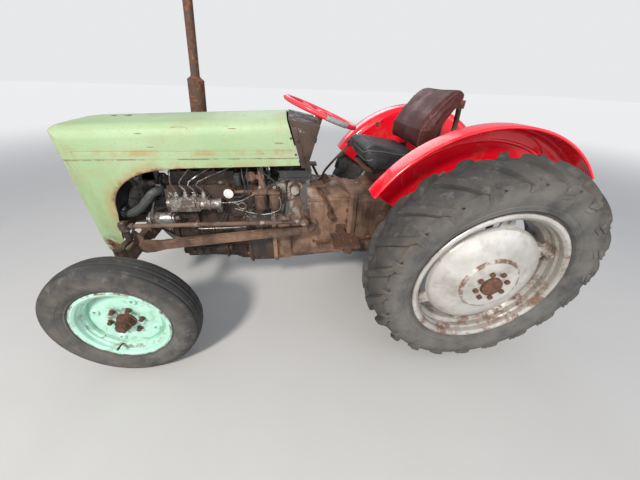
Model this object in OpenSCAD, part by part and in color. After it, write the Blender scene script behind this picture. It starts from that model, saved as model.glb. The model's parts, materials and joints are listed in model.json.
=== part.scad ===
// Vintage light farm tractor, in millimetres. +X forward, +Y left, +Z up, floor at Z = 0.
// Places along the tractor are measured from the rear axle and moved by along() to the part's own frame.

/* [Wheels] */
// Distance between the front and the rear axle
wheelbase = 1778; // [1740:1:1820]
// Radius of a rear tyre over its lugs, which is the height of the rear axle
rear_tyre_r = 588; // [580:1:596]
// Distance of a rear tyre's middle from the centre line
rear_half_track = 612; // [608:1:625]
// Width of a rear tyre at its widest
rear_tyre_w = 284; // [274:1:290]
// Radius of a rear rim over its flanges
rear_rim_r = 378; // [372:1:384]
// Width of a rear rim over its flanges
rear_rim_w = 252; // [244:1:260]
// Height of the lugs on a rear tyre
lug_h = 22; // [14:1:26]
// Lugs along each side of a rear tyre
lug_count = 20; // [16:1:24]
// Radius of a front tyre, which is the height of the front axle
front_tyre_r = 352; // [346:1:356]
// Distance of a front tyre's middle from the centre line
front_half_track = 596; // [592:1:606]
// Width of a front tyre at its widest
front_tyre_w = 166; // [158:1:168]
// Radius of a front rim over its flanges
front_rim_r = 226; // [220:1:232]
// Width of a front rim over its flanges
front_rim_w = 122; // [114:1:126]

/* [Front axle and steering] */
// Distance of each kingpin from the centre line
kingpin_y = 455; // [445:1:460]
// Radius of a kingpin
kingpin_r = 16; // [13:1:18]
// Height of the front axle beam's middle
beam_z = 600; // [590:1:615]
// Depth of the front axle beam
beam_h = 72; // [60:1:80]
// Length of the steering arm on each kingpin
steer_arm = 95; // [85:1:105]
// Height of the ball at the front of each drag link
drag_front_z = 748; // [740:1:760]
// Place of the drop arms' shaft ahead of the rear axle
drop_x = 917; // [905:1:925]
// Height of the drop arms' shaft
drop_z = 884; // [876:1:890]
// Length of a drop arm between its shaft and its ball
drop_arm = 195; // [185:1:205]
// Lean of the drop arms backward when the wheels point ahead
drop_lean = 15; // [8:1:18]
// Distance of a drop arm's middle from the centre line
drop_y = 222; // [214:1:230]
// Radius of the steering wheel to the middle of its rim
steer_wheel_r = 203; // [190:1:215]
// Thickness of the steering wheel's rim
steer_rim_d = 25; // [20:1:30]
// Tilt of the steering wheel from level
column_tilt = 20.7; // [18:0.1:24]
// Place of the steering wheel's hub ahead of the rear axle
steer_hub_x = 760; // [750:1:770]
// Height of the steering wheel's hub
steer_hub_z = 1245; // [1240:1:1262]

/* [Bonnet] */
// Half of the bonnet's width
bonnet_half_w = 235; // [228:1:242]
// Thickness of sheet metal on the bonnet and the fenders
sheet = 4; // [3:0.5:5]
// Height of the bonnet's crown at its rear edge
bonnet_rear_z = 1249; // [1240:1:1262]
// Height of the bonnet's crown at its nose
bonnet_front_z = 1205; // [1196:1:1216]
// Distance of the bonnet's hinge ahead of the front axle
hinge_ahead = 185; // [177:1:192]
// Height of the bonnet's hinge
hinge_z = 565; // [558:1:572]
// Radius of the bonnet's hinge pins
hinge_r = 9.5; // [8:0.5:12]

/* [Seat and fenders] */
// Radius of the fenders over the tyre
fender_r = 676; // [668:1:690]
// Distance of the fenders' inner panel from the centre line
fender_in = 396; // [388:1:404]
// Distance of the fenders' outer lip from the centre line
fender_out = 530; // [515:1:545]
// Half of the seat's width
seat_half_w = 225; // [205:1:235]

/* [Hitch] */
// Place of the lift shaft ahead of the rear axle
rock_x = -130; // [-138:1:-122]
// Height of the lift shaft
rock_z = 860; // [852:1:868]
// Length of a lift arm between its shaft and its pin
lift_arm = 220; // [210:1:230]
// Place of the lower links' pivot ahead of the rear axle
link_x = 10; // [0:1:20]
// Height of the lower links' pivot
link_z = 385; // [378:1:392]
// Distance along a lower link from its pivot to the lift rod
rod_at = 300; // [290:1:315]
// Distance of the lower links' ball ends behind the rear axle
hitch_reach = 778; // [760:1:800]
// Radius of the hole in a lower link's ball end
link_hole_r = 11.2; // [11:0.1:11.6]

/* [Fits] */
// Radial clearance of a running shaft in its bore
running = 0.05; // [0.02:0.01:0.1]
// Gap between pieces that touch without being fixed
seat_gap = 0.3; // [0.2:0.1:0.5]

/* [Hidden] */
$fn = 48;

green = "#BEE0A8";
red = "#D81830";
mint = "#A5D2BE";
silver = "#C8C8C4";
casting = "#735546";
steel = "#8C8680";
rubber = "#4A4A48";

// The part's own origin lies under the middle of its length
rear_x = -(wheelbase + front_tyre_r - hitch_reach) / 2;
rear_z = rear_tyre_r;
front_z = front_tyre_r;
hinge_x = wheelbase + hinge_ahead;

module along() translate([rear_x, 0, 0]) children();
module both() {
    children();
    mirror([0, 1, 0]) children();
}
module side(s) mirror([0, s < 0 ? 1 : 0, 0]) children();

// A round bar between two points
module bar(p, q, d) {
    v = q - p;
    l = norm(v);
    translate(p)
        rotate([0, acos(v[2] / l), atan2(v[1], v[0])])
            cylinder(d = d, h = l);
}
// Points of a smooth curve that passes through each point p, with n steps between two of them
function smooth(p, n = 4) = concat([for (i = [0 : len(p) - 2]) let (
        a = p[max(i - 1, 0)], b = p[i], c = p[i + 1], d = p[min(i + 2, len(p) - 1)])
    each [for (k = [0 : n - 1]) let (t = k / n)
        b + (c - a) * t / 2 + (2 * a - 5 * b + 4 * c - d) * t * t / 2 + (3 * b - a - 3 * c + d)
            * t * t * t / 2]],
    [p[len(p) - 1]]);
function unit(v) = v / norm(v);
// A tube swept along a route, with one ring of corners about each of its points
module swept(route, d, sides = 10, up = [0, 0, 1]) {
    last = len(route) - 1;
    corners = [for (i = [0 : last]) let (
            t = unit(route[min(i + 1, last)] - route[max(i - 1, 0)]),
            u = unit(cross(t, up)),
            v = cross(t, u))
        each [for (k = [0 : sides - 1]) route[i] + d / 2 * (cos(360 * k / sides) * u + sin(360 * k / sides)
            * v)]];
    walls = [for (i = [0 : last - 1]) for (k = [0 : sides - 1])
        [sides * i + k, sides * (i + 1) + k, sides * (i + 1) + (k + 1) % sides, sides * i + (k + 1) % sides]];
    polyhedron(corners, concat([[for (k = [0 : sides - 1]) k]], walls,
        [[for (k = [sides - 1 : -1 : 0]) sides * last + k]]));
}
// A bent bar through points, with straight runs between its bends
module pipe(points, d) swept(points, d, 12, [0.13, 1, 0.21]);
// A cylinder that lies across the tractor, from y0 to y1
module across(x, z, r, y0, y1) translate([x, y0, z]) rotate([-90, 0, 0]) cylinder(r = r, h = y1 - y0);
// A cylinder that points forward from x, l long
module ahead(x, y, z, r, l) translate([x, y, z]) rotate([0, 90, 0]) cylinder(r = r, h = l);
// An outline drawn in X and Z, given thickness from y0 to y1
module plate(points, y0, y1) translate([0, y1, 0]) rotate([90, 0, 0]) linear_extrude(y1 - y0) polygon(points);
// A round solid about a wheel's axle from an outline of distance out and radius
module wheel_turn(points) rotate([-90, 0, 0]) rotate_extrude($fn = 96) polygon([for (p = points) [p[1],
    p[0]]]);
// An outline drawn in Y and Z, given length from x0 to x1
module cross_section(points, x0, x1) translate([x0, 0, 0]) rotate([90, 0, 90]) linear_extrude(x1 - x0)
    polygon(points);
// An outline drawn in X and Y, given height from z0 to z1
module slab(points, z0, z1) translate([0, 0, z0]) linear_extrude(z1 - z0) polygon(points);
// Points of an arc
function arc(x, y, r, a0, a1, n = 6) = [for (i = [0 : n]) let (a = a0 + (a1 - a0) * i / n) [x + r * cos(a),
    y + r * sin(a)]];
// Points of a rectangle with rounded corners
function rounded(x0, y0, x1, y1, r, n = 2) = concat(arc(x1 - r, y1 - r, r, 0, 90, n), arc(x0 + r, y1 - r,
    r, 90, 180, n),
    arc(x0 + r, y0 + r, r, 180, 270, n), arc(x1 - r, y0 + r, r, 270, 360, n));

// Rear tyre: its crown is an arc about a point under the tread
crown_r = 216;
crown_edge = 39;
// A point of the tread at angle a from the middle, depth h under the lugs' tops and turn t about the axle
function tread(a, h, t) = let (r = rear_tyre_r - crown_r + (crown_r - h) * cos(a))
    [r * sin(t), (crown_r - h) * sin(a), r * cos(t)];
lug_sweep = 12;
lug_root = 22;
lug_top = 15;
lug_sunk = 6;
lug_stops = [2, 21, crown_edge];
lug_faces = concat([[0, 1, 2, 3]], [for (j = [0 : 1]) for (k = [0 : 3])
    [4 * j + k, 4 * j + 4 + k, 4 * j + 4 + (k + 1) % 4, 4 * j + (k + 1) % 4]], [[11, 10, 9, 8]]);

module tread_lug() {
    points = [for (a = lug_stops) let (
            t = -lug_sweep * a / crown_edge,
            root = lug_root / rear_tyre_r * 180 / PI,
            top = lug_top / rear_tyre_r * 180 / PI)
        each [tread(a, lug_h + lug_sunk, t - root), tread(a, 0, t - top),
            tread(a, 0, t + top), tread(a, lug_h + lug_sunk, t + root)]];
    hull() polyhedron(points, lug_faces);
}

module rear_tyre() color(rubber) translate([0, rear_half_track, rear_z]) {
    w = rear_tyre_w / 2;
    bead = rear_rim_w / 2 - 12;
    base = rear_tyre_r - crown_r;
    rim = rear_rim_r - 20;
    crown = [for (a = [-crown_edge : crown_edge / 2 : crown_edge])
        [(crown_r - lug_h) * sin(a), base + (crown_r - lug_h) * cos(a)]];
    wall = [[w, base + 105], [w - 4, base + 60], [bead, rear_rim_r + 5], [bead, rim]];
    wall_back = [for (i = [3 : -1 : 0]) [-wall[i][0], wall[i][1]]];
    rotate([-90, 0, 0]) rotate_extrude($fn = lug_count * 2)
        polygon([for (p = concat(crown, wall, wall_back)) [p[1], p[0]]]);
    for (i = [0 : lug_count - 1]) {
        rotate([0, 360 / lug_count * i, 0]) tread_lug();
        rotate([0, 360 / lug_count * (i + 0.5), 0]) mirror([0, 1, 0]) tread_lug();
    }
}

// Rear wheel: rim, six lugs that carry the domed disc, hub flange and brake drum, about the axle
hub_face = 742;
hub_ring_r = 138;
disc_edge_r = 284;
rim_lug_r = 306;
lug_turn = -3;
long_bolt = 5;
module rear_rim() translate([0, rear_half_track, 0]) {
    w = rear_rim_w / 2;
    seat_r = rear_rim_r - 22;
    step_r = seat_r - 8;
    well_r = seat_r - 24;
    wall = 7;
    outside = concat([[40, well_r], [54, seat_r], [w - 12, seat_r]], arc(w - 6, rear_rim_r - 6, 6, 180, 0,
        5));
    inside = [[w, seat_r + 6], [w - 8, seat_r - wall], [94, seat_r - wall], [86, step_r - wall],
        [62, step_r - wall], [46, well_r - wall]];
    one_side = concat(outside, inside);
    last = len(one_side) - 1;
    wheel_turn(concat(one_side, [for (i = [last : -1 : 0]) [-one_side[i][0], one_side[i][1]]]));
}
module rear_wheel() color(silver) translate([0, 0, rear_z]) {
    rear_rim();
    // Domed disc with its raised ring and the axle's cap
    f = hub_face;
    wheel_turn([[f - 12, 0], [f - 12, hub_ring_r - 6], [f - 20, hub_ring_r + 6], [f - 26, 190], [f - 42, 236],
        [f - 62, 268], [f - 80, disc_edge_r - 4], [f - 75, disc_edge_r], [f - 56, 274], [f - 35, 240],
        [f - 19, 192], [f - 11, hub_ring_r + 9], [f, hub_ring_r], [f, 52], [f + 16, 50], [f + 22, 38],
        [f + 24, 0]]);
    for (i = [0 : 5]) rotate([0, 60 * i + lug_turn, 0]) {
        plate([[-44, 262], [44, 262], [26, rim_lug_r + 14], [-26, rim_lug_r + 14]], f - 78, f - 71);
        plate([[-26, 284], [26, 284], [34, rear_rim_r - 48], [-34, rear_rim_r - 48]], f - 88, f - 79);
        plate([[-6, 292], [6, 292], [6, rear_rim_r - 48], [-6, rear_rim_r - 48]], f - 140, f - 86);
        across(0, rim_lug_r, 8, f - 104, f - (i == long_bolt ? 22 : 58));
        if (i == long_bolt) across(0, rim_lug_r, 14, f - 71, f - 34);
    }
    for (i = [0 : 7]) rotate([0, 45 * i + 17, 0]) translate([0, 0, 76]) across(0, 0, 12, f - 4, f + 14);
    // Hub flange, drum and shaft
    difference() {
        across(0, 0, 180, 612, 700);
        across(0, 0, 172, 611, 690);
    }
    across(0, 0, 100, 699, f - 11);
    across(0, 0, axle_r, 470, 700);
}
axle_r = 28;

// Front wheel: stepped rim, disc with four bosses, six studs and hub
boss_at = 138;
stud_at = 76;
module front_rim_ring() {
    w = front_rim_w / 2;
    seat_r = front_rim_r - 20;
    well_r = seat_r - 20;
    wall = 6;
    outside = concat([[14, well_r], [20, seat_r], [w - 10, seat_r]], arc(w - 5, front_rim_r - 5, 5, 180, 0,
        5));
    inside = [[w, seat_r + 6], [w - 7, seat_r - wall], [38, seat_r - wall], [33, seat_r - wall - 9],
        [24, seat_r - wall - 9], [18, well_r - wall]];
    one_side = concat(outside, inside);
    last = len(one_side) - 1;
    wheel_turn(concat(one_side, [for (i = [last : -1 : 0]) [-one_side[i][0], one_side[i][1]]]));
}
module front_rim() color(mint) translate([wheelbase, 0, front_z]) difference() {
    translate([0, front_half_track, 0]) {
        front_rim_ring();
        wheel_turn([[2, 0], [2, 152], [-6, 166], [-10, front_rim_r - 47], [-4, front_rim_r - 43], [2, 172],
            [12, 160], [12, 0]]);
        across(0, 0, 46, -46, 20);
        across(0, 0, 37, 20, 50);
        across(0, 0, 26, 50, 72);
        across(0, 0, 20, 72, 78);
        for (i = [0 : 5]) rotate([0, 60 * i + 35, 0]) translate([0, 0, stud_at]) {
            across(0, 0, 16, 11, 15);
            across(0, 0, 11, 11, 32);
        }
        for (i = [0 : 3]) rotate([0, 90 * i + 62, 0]) translate([0, 0, boss_at])
            wheel_turn([[10, 0], [10, 24], [20, 17], [20, 0]]);
    }
    for (i = [0 : 3]) rotate([0, 90 * i + 62, 0]) translate([0, 0, boss_at])
        across(0, 0, 8, front_half_track, front_half_track + 21);
    across(0, 0, stub_r + running, front_half_track - 50, front_half_track + 26);
}
stub_r = 17;

module front_tyre() color(rubber) translate([wheelbase, front_half_track, front_z]) {
    w = front_tyre_w / 2;
    bead = front_rim_w / 2 - 10.3;
    r = front_tyre_r;
    rim = front_rim_r - 19.7;
    groove = 10;
    half = [[6, r], [8, r - groove], [15, r - groove], [17, r - 1], [40, r - 4], [42, r - 4 - groove],
        [50, r - 6 - groove], [52, r - 8], [64, r - 16], [w, r - 58], [w - 3, r - 86],
        [bead, front_rim_r + 4],
        [bead, rim]];
    back = [for (i = [len(half) - 1 : -1 : 0]) [-half[i][0], half[i][1]]];
    wheel_turn(concat(half, back));
}

// Knuckle: kingpin, stub axle and steering arm, for the left side
module knuckle() color(casting) translate([wheelbase, kingpin_y, 0]) {
    translate([0, 0, front_z]) cylinder(r = kingpin_r, h = boss_top + 22 - front_z);
    hub_end = front_half_track - kingpin_y + 24;
    translate([0, 0, front_z]) {
        translate([0, 0, -26]) cylinder(r = 27, h = boss_low - front_z + 26 - seat_gap);
        across(0, 0, 26, 0, front_half_track - kingpin_y - 50);
        across(0, 0, stub_r, 0, hub_end);
    }
    translate([0, 0, boss_top + seat_gap]) {
        cylinder(r = 26, h = 20);
        translate([-14, -steer_arm, 4]) cube([28, steer_arm, 14]);
        translate([0, -steer_arm, 0]) cylinder(r = 15, h = drag_front_z - boss_top - 34);
    }
}
boss_low = beam_z - 88;
boss_top = beam_z + 58;

// Front axle: centre beam, outer arms with the kingpins' bosses, and radius arms
arm_y = 340;
radius_rear = [823, 196, 625];
module front_axle() color(casting) {
    difference() {
        union() {
            translate([wheelbase - 26, -200, beam_z + 10 - beam_h / 2]) cube([52, 400, beam_h]);
            both() {
                plate_y = [[150, beam_z + 44], [400, beam_z + 30], [kingpin_y, beam_z + 20],
                    [kingpin_y, beam_z - 40], [400, beam_z - 30], [150, beam_z - 16]];
                cross_section(plate_y, wheelbase - 19, wheelbase + 19);
                translate([wheelbase, kingpin_y, boss_low]) cylinder(r = 27, h = boss_top - boss_low);
                // Clamp bolts of the outer arm and the plate that stands on it
                for (y = [175, 235]) translate([wheelbase - 32, y, beam_z + 12]) rotate([0, 90, 0])
                    cylinder(r = 12, h = 64);
                difference() {
                    plate([[wheelbase - 14, beam_z + 112], [wheelbase - 52, beam_z + 62],
                        [wheelbase - 48, beam_z + 14],
                        [wheelbase + 34, beam_z - 10], [wheelbase + 28, beam_z + 50]], arm_y - 18, arm_y - 6);
                    across(wheelbase + 1, beam_z + 50, 8, arm_y - 20, arm_y);
                }
            }
        }
        both() translate([wheelbase, kingpin_y, boss_low - 1])
            cylinder(r = kingpin_r + running, h = boss_top - boss_low + 2);
        cross_bolt = 20;
        translate([wheelbase - 40, 0, beam_z + 10]) rotate([0, 90, 0]) cylinder(r = cross_bolt, h = 80);
    }
    // Radius arms, deeper at their front ends
    both() {
        foot = [wheelbase - 60, arm_y, beam_z + 14];
        v = radius_rear - foot;
        l = norm([v[0], v[1]]);
        translate(foot) rotate([0, 0, atan2(v[1], v[0])]) {
            plate([[-44, 6], [-30, 26], [0, 34], [70, 24], [l - 20, 22], [l, 14], [l, -12], [l - 20, -20],
                [90, -26],
                [30, -36], [-10, -34], [-44, -14]], -12, 12);
            for (z = [-24, 16]) translate([90, -16, z]) cube([l - 130, 32, 7]);
        }
        translate(radius_rear) sphere(r = 30);
    }
}

// Ends of the engine along the tractor, and half of its width
engine_w = 150;
engine_rear = 1062;
engine_front = wheelbase - 128;
bolster_rear = engine_front + 10;
// Places of the cylinders, as seen from their injectors
bore_pitch = (engine_front - engine_rear - 213) / 3;
bores = [for (i = [0 : 3]) engine_rear + 118 + bore_pitch * i];

// Gap between the bonnet's walls and the ears that carry it
ear_gap = 2;
// Bolster: casting under the radiator that carries the axle's pin and the bonnet's hinge
module front_bolster() color(casting) {
    difference() {
        union() {
            translate([bolster_rear, -136, beam_z + 54]) cube([hinge_x - bolster_rear - 40, 272, 46]);
            // Feet under the engine's front
            for (y = [-110, 80]) plate([[bolster_rear, beam_z + 54], [bolster_rear + 70, beam_z + 54],
                [bolster_rear, beam_z - 10]], y, y + 30);
            for (x = [wheelbase - 62, wheelbase + 32])
                translate([x, -60, beam_z - 34]) cube([30, 120, 100]);
            for (y = [-bonnet_half_w + sheet + ear_gap, bonnet_half_w - sheet - ear_gap - 16])
                plate([[hinge_x - 110, beam_z + 54], [hinge_x - 60, beam_z + 100],
                    [hinge_x - 30, beam_z + 60],
                    [hinge_x + 14, hinge_z + 14], [hinge_x + 14, hinge_z - 14], [hinge_x - 20, hinge_z - 20]],
                    y, y + 16);
            translate([hinge_x - 110, -bonnet_half_w + 12, beam_z + 56]) cube(
                [50, 2 * bonnet_half_w - 24, 42]);
        }
        translate([wheelbase - 80, 0, beam_z + 10]) rotate([0, 90, 0]) cylinder(r = 19 + running, h = 160);
    }
    translate([wheelbase - 62, 0, beam_z + 10]) rotate([0, 90, 0]) cylinder(r = 19, h = 124);
    both() across(hinge_x, hinge_z, hinge_r, bonnet_half_w - 24, bonnet_half_w - sheet / 2);
}

// Engine
head_z = 900;
sump_z = 335;
module engine_block() color(casting) {
    side_y = engine_w - 12;
    plate([[engine_rear, 470], [engine_rear, head_z - 20], [engine_front - 24, head_z - 20],
        [engine_front - 24, 520], [engine_front - 60, 470]], -side_y, side_y);
    // Timing case at the front, and the box on its left that carries the pump
    cross_section([[-engine_w, 560], [-engine_w, 760], [-120, head_z - 50], [120, head_z - 50],
        [engine_w, 760],
        [engine_w, 560], [70, 490], [-70, 490]], engine_front - 25, engine_front);
    plate(rounded(engine_front - 161, 646, engine_front - 26, pump_z - 44 - seat_gap, 10), side_y - 2,
        engine_w + 6);
    // Flange round the flywheel, with its lip
    bell = [[-140, 352], [140, 352], [176, 400], [182, 600], [166, 690], [134, 730], [-134, 730], [-166, 690],
        [-182, 600], [-176, 400]];
    cross_section(bell, engine_rear, engine_rear + 138);
    cross_section([for (p = bell) [p[0] * 1.06, (p[1] - 541) * 1.04 + 541]], engine_rear + 138,
        engine_rear + 154);
    // Plugs on both sides, a cover on the right and the rail over the sump
    both() for (x = bores) across(x + 30, 600, 25, side_y - 2, side_y + 3);
    plate(rounded(engine_rear + 200, 700, engine_front - 60, 840, 14), -side_y - 12, -side_y + 1);
    plate([[engine_rear + 4, 460], [engine_front - 34, 460], [engine_front - 34, 474],
        [engine_rear + 4, 474]],
        -engine_w + 8, engine_w - 8);
    // Oil filter on the right
    translate([engine_rear + 215, -engine_w - 34, 520]) {
        cylinder(r = 42, h = 130);
        translate([0, 0, -14]) cylinder(r1 = 26, r2 = 42, h = 14.1);
        translate([-30, -30, 130]) cube([60, 60, 34]);
        translate([-24, 10, 138]) cube([48, 40, 24]);
    }
    // Sump with its ribs and drain plug
    sump_mid = (engine_rear + engine_front - 350) / 2;
    sump = [[engine_rear + 10, 461], [engine_front - 40, 461], [engine_front - 60, 400],
        [engine_front - 330, 380],
        [engine_front - 370, sump_z], [engine_rear + 20, sump_z]];
    intersection() {
        plate(sump, -engine_w + 30, engine_w - 30);
        cross_section([[-120, 480], [-120, 380], [-90, sump_z], [90, sump_z], [120, 380], [120, 480]],
            engine_rear, engine_front);
    }
    both() for (x = [engine_rear + 180 : 60 : engine_front - 90])
        plate([[x, 461], [x + 8, 461], [x + 8, 410], [x, 410]], 118, 128);
    translate([sump_mid, 0, sump_z - 10]) cylinder(r = 16, h = 12);
}
module cylinder_head() color(casting) {
    plate([[engine_rear + 20, head_z - 20], [engine_front - 40, head_z - 20],
        [engine_front - 40, head_z + 50],
        [engine_rear + 20, head_z + 50]], -engine_w + 30, engine_w - 40);
    // Bosses between the ports, and the injectors with their clamps
    for (x = bores) {
        translate([x, engine_w - 60, head_z + 49]) cylinder(r = 17, h = 10);
        translate([x, engine_w - 60, head_z + 50]) cylinder(r = 10, h = injector_h);
        translate([x - 24, engine_w - 70, head_z + 64]) cube([48, 20, 8]);
    }
    both() for (i = [0 : 2])
        translate([(bores[i] + bores[i + 1]) / 2, -engine_w + 44, head_z + 49]) cylinder(r = 9, h = 12);
    // Breather can on its bracket
    translate([engine_rear + 164, engine_w + 20, head_z - 4]) cylinder(r = 21, h = 68);
    translate([engine_rear + 152, engine_w - 42, head_z + 4]) cube([24, 50, 10]);
    // Outlet of the top hose
    translate([engine_front - 42, -66, head_z]) cube([52, 52, 30]);
    translate([engine_front - 16, -40, head_z + 30]) cylinder(r = 20, h = 20);
    // Rocker cover with its flange and filler cap
    cover_top = head_z + 105;
    cross_section(concat([[-74, head_z + 49], [-74, cover_top - 24]], arc(-50, cover_top - 24, 24, 180, 90,
        4),
        arc(40, cover_top - 24, 24, 90, 0, 4), [[64, head_z + 49]]), engine_rear + 62, engine_front - 92);
    plate([[engine_rear + 50, head_z + 49], [engine_front - 80, head_z + 49],
        [engine_front - 80, head_z + 59],
        [engine_rear + 50, head_z + 59]], -84, 71);
    translate([engine_front - 150, -5, cover_top - 1]) cylinder(r = 27, h = 22);
}
injector_h = 42;
pump_z = 790;
module injection_pump() color(steel) {
    pump_front = engine_front - 44;
    pump_y = engine_w + 24;
    plate([[pump_front - 144, pump_z - 34], [pump_front, pump_z - 34], [pump_front, pump_z + 24],
        [pump_front - 16, pump_z + 34], [pump_front - 144, pump_z + 34]], engine_w - 12, engine_w + 50);
    // Cover plate on its side, lower flange and drive flange
    plate(rounded(pump_front - 134, pump_z - 16, pump_front - 12, pump_z + 22, 8), engine_w + 49,
        engine_w + 56);
    plate([[pump_front - 150, pump_z - 44], [pump_front + 6, pump_z - 44], [pump_front + 6, pump_z - 33],
        [pump_front - 150, pump_z - 33]], engine_w - 12, engine_w + 46);
    ahead(pump_front - 1, engine_w + 20, pump_z - 6, 30, 19);
    // Governor behind it, with its bands
    governor_l = 144;
    ahead(pump_front - governor_l - 132, pump_y, pump_z - 10, 30, governor_l - 10);
    for (x = [0, 58, 116]) ahead(pump_front - governor_l - 130 + x, pump_y, pump_z - 10, 35, 16);
    plate([[pump_front - 206, pump_z + 6], [pump_front - 126, pump_z + 20], [pump_front - 126, pump_z + 34],
        [pump_front - 206, pump_z + 34]], engine_w, engine_w + 44);
    translate([pump_front - 256, engine_w - 12, pump_z - 30]) cube([24, 30, 40]);
    // Valve holders and the pipes to the injectors
    for (i = [0 : 3]) {
        x = pump_front - 181 + 48 * i;
        top = pump_z + 60;
        translate([x, pump_y, pump_z + 33]) cylinder(r = 13, h = 13);
        translate([x, pump_y, pump_z + 45]) cylinder(r = 9, h = 15);
        start = top + seat_gap;
        injector = [bores[i], engine_w - 60, head_z + 50 + injector_h + seat_gap];
        swept(smooth([[x, pump_y, start], [x, pump_y, start + 18], [x + 14, engine_w + 26, start + 62],
            injector + [20, 42, 12], injector + [0, 2, 24], injector + [0, 0, 10], injector], 3), 7, 6, [1,
            0.2, 0]);
    }
}
module fuel_filters() color(casting) {
    filter_y = engine_w + 44;
    for (x = [1030, 1110]) translate([x, filter_y, 0]) {
        rotate_extrude() polygon([[0, 742], [14, 742], [16, 748], [28, 752], [35, 764], [36, 772], [36, 836],
            [39, 838], [39, 850], [0, 850]]);
        translate([0, 0, 849]) cylinder(r = 33, h = 12);
        translate([0, 0, 860]) cylinder(r = 12, h = 20);
        across(0, 868, 9, 10, 30);
    }
    plate([[1000, 858], [1000, 870], [1062, 884], [1150, 870], [1150, 858]], engine_w + seat_gap,
        engine_w + 84);
    // Strap up to the tank's seam, with the small round filter and the white cap beside it
    translate([1084, filter_y - 8, 868]) cube([30, 6, 1104 - seat_gap - 868]);
    plate([[1112, 930], [1112, 950], [1150, 962], [1150, 930]], filter_y - 8, filter_y - 4);
    across(1153, 946, 26, filter_y - 30, filter_y + 2);
    across(1153, 946, 18, filter_y + 1, filter_y + 8);
    plate([[1148, 858], [1148, 870], [1279, 864], [1279, 850]], filter_y - 6, filter_y);
    across(1279, 857, 27, filter_y - 8, filter_y + 18);
}
dynamo_y = 205;
dynamo_z = 712;
fan_x = engine_front + 196;
pump_outlet_x = engine_front + 27;
fan_z = 846;
module dynamo_and_fan() color(steel) {
    pulley_x = engine_front + 44;
    // Dynamo low on the left, with its end caps and its grooved pulley
    ahead(engine_front - 78, dynamo_y, dynamo_z, 12, 30);
    ahead(engine_front - 56, dynamo_y, dynamo_z, 26, 14);
    ahead(engine_front - 44, dynamo_y, dynamo_z, 34, 14);
    ahead(engine_front - 34, dynamo_y, dynamo_z, 32, 60);
    ahead(engine_front + 24, dynamo_y, dynamo_z, 34, 21);
    translate([pulley_x, dynamo_y, dynamo_z]) rotate([0, 90, 0]) groove_pulley(42, 20);
    ahead(pulley_x + 18, dynamo_y, dynamo_z, 38, 12);
    ahead(pulley_x + 28, dynamo_y, dynamo_z, 12, 24);
    translate([engine_front - 10, engine_w + seat_gap, dynamo_z - 10]) cube([40, dynamo_y - engine_w, 20]);
    // Crank pulley, and the water pump with its pulley and fan
    ahead(engine_front + seat_gap, 0, 560, 20, 46);
    translate([pulley_x, 0, 560]) rotate([0, 90, 0]) groove_pulley(75, 20);
    ahead(engine_front + seat_gap, 0, fan_z, 46, 34);
    ahead(engine_front + 30, 0, fan_z, 18, fan_x - engine_front);
    translate([pulley_x, 0, fan_z]) rotate([0, 90, 0]) groove_pulley(60, 20);
    across(pump_outlet_x, fan_z, 16, 20, 96);
    ahead(fan_x - 12, 0, fan_z, 42, 5);
    ahead(fan_x - 8, 0, fan_z, 36, 16);
    for (a = [45 : 90 : 359]) translate([fan_x, 0, fan_z]) rotate([a, 0, 0]) {
        rotate([0, 0, 25]) slab_blade();
        translate([-10, -12, 20]) cube([6, 24, 50]);
    }
}
// A blade with its corners cut, wider at its end
module slab_blade() rotate([90, 0, 90]) translate([0, 0, -3])
    linear_extrude(6) polygon([[-24, 20], [-40, 60], [-42, 140], [-26, 164], [30, 164], [40, 150], [38, 60],
        [24, 20]]);
// A pulley with a groove for its belt, along Z
module groove_pulley(r, w) rotate_extrude() polygon([[0, 0], [r, 0], [r, 3], [r - 9, w / 2 - 2],
    [r - 9, w / 2 + 2],
    [r, w - 3], [r, w], [0, w]]);
module starter_motor() color(casting) {
    starter_rear = engine_rear + 278;
    starter_y = engine_w + 44;
    ahead(starter_rear, starter_y, 500, 48, 176);
    ahead(starter_rear + 175, starter_y, 500, 44, 12);
    ahead(starter_rear + 186, starter_y, 500, 48, 39);
    ahead(starter_rear + 225, starter_y, 500, 34, 26);
    // Nose and flange at its rear, and the terminal on top
    ahead(starter_rear - 30, starter_y, 500, 30, 31);
    translate([starter_rear - 10, engine_w - 8 + seat_gap, 452]) cube([14, 92, 96]);
    translate([starter_rear + 60, starter_y - 16, 540]) cube([60, 32, 16]);
    translate([starter_rear + 78, starter_y, 555]) cylinder(r = 7, h = 16);
}
radiator_x = fan_x + 54;
neck_z = 1080;
module radiator() color("#2A2A2A") {
    core_w = 200;
    translate([radiator_x, -core_w, 710]) cube([56, 2 * core_w, 340]);
    // Lower tank, and the upper tank with its rounded shoulders and neck
    translate([radiator_x - 10, -core_w - 5, beam_z + 100 + seat_gap]) cube([76, 2 * core_w + 10, 56]);
    cross_section(concat([[-core_w - 5, 1050], [-core_w - 5, 1090]], arc(-core_w + 25, 1090, 30, 180, 90, 4),
        arc(core_w - 25, 1090, 30, 90, 0, 4), [[core_w + 5, 1050]]), radiator_x - 10, radiator_x + 66);
    translate([radiator_x + 28, 0, 1119]) cylinder(r = 20, h = 18);
    translate([radiator_x + 28, 0, 1136]) cylinder(r = 27, h = 12);
    // Side frames, and the stubs for the hoses
    both() {
        translate([radiator_x - 8, core_w, 704]) cube([72, 5, 356]);
        for (z = [800, 960]) translate([radiator_x - 14, core_w - 20, z]) cube([10, 25, 30]);
    }
    ahead(radiator_x - 12.4, 168, 728, 20, 4);
    ahead(radiator_x - 12.4, -40, neck_z, 20, 4);
}
hose_d = 48;
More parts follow.
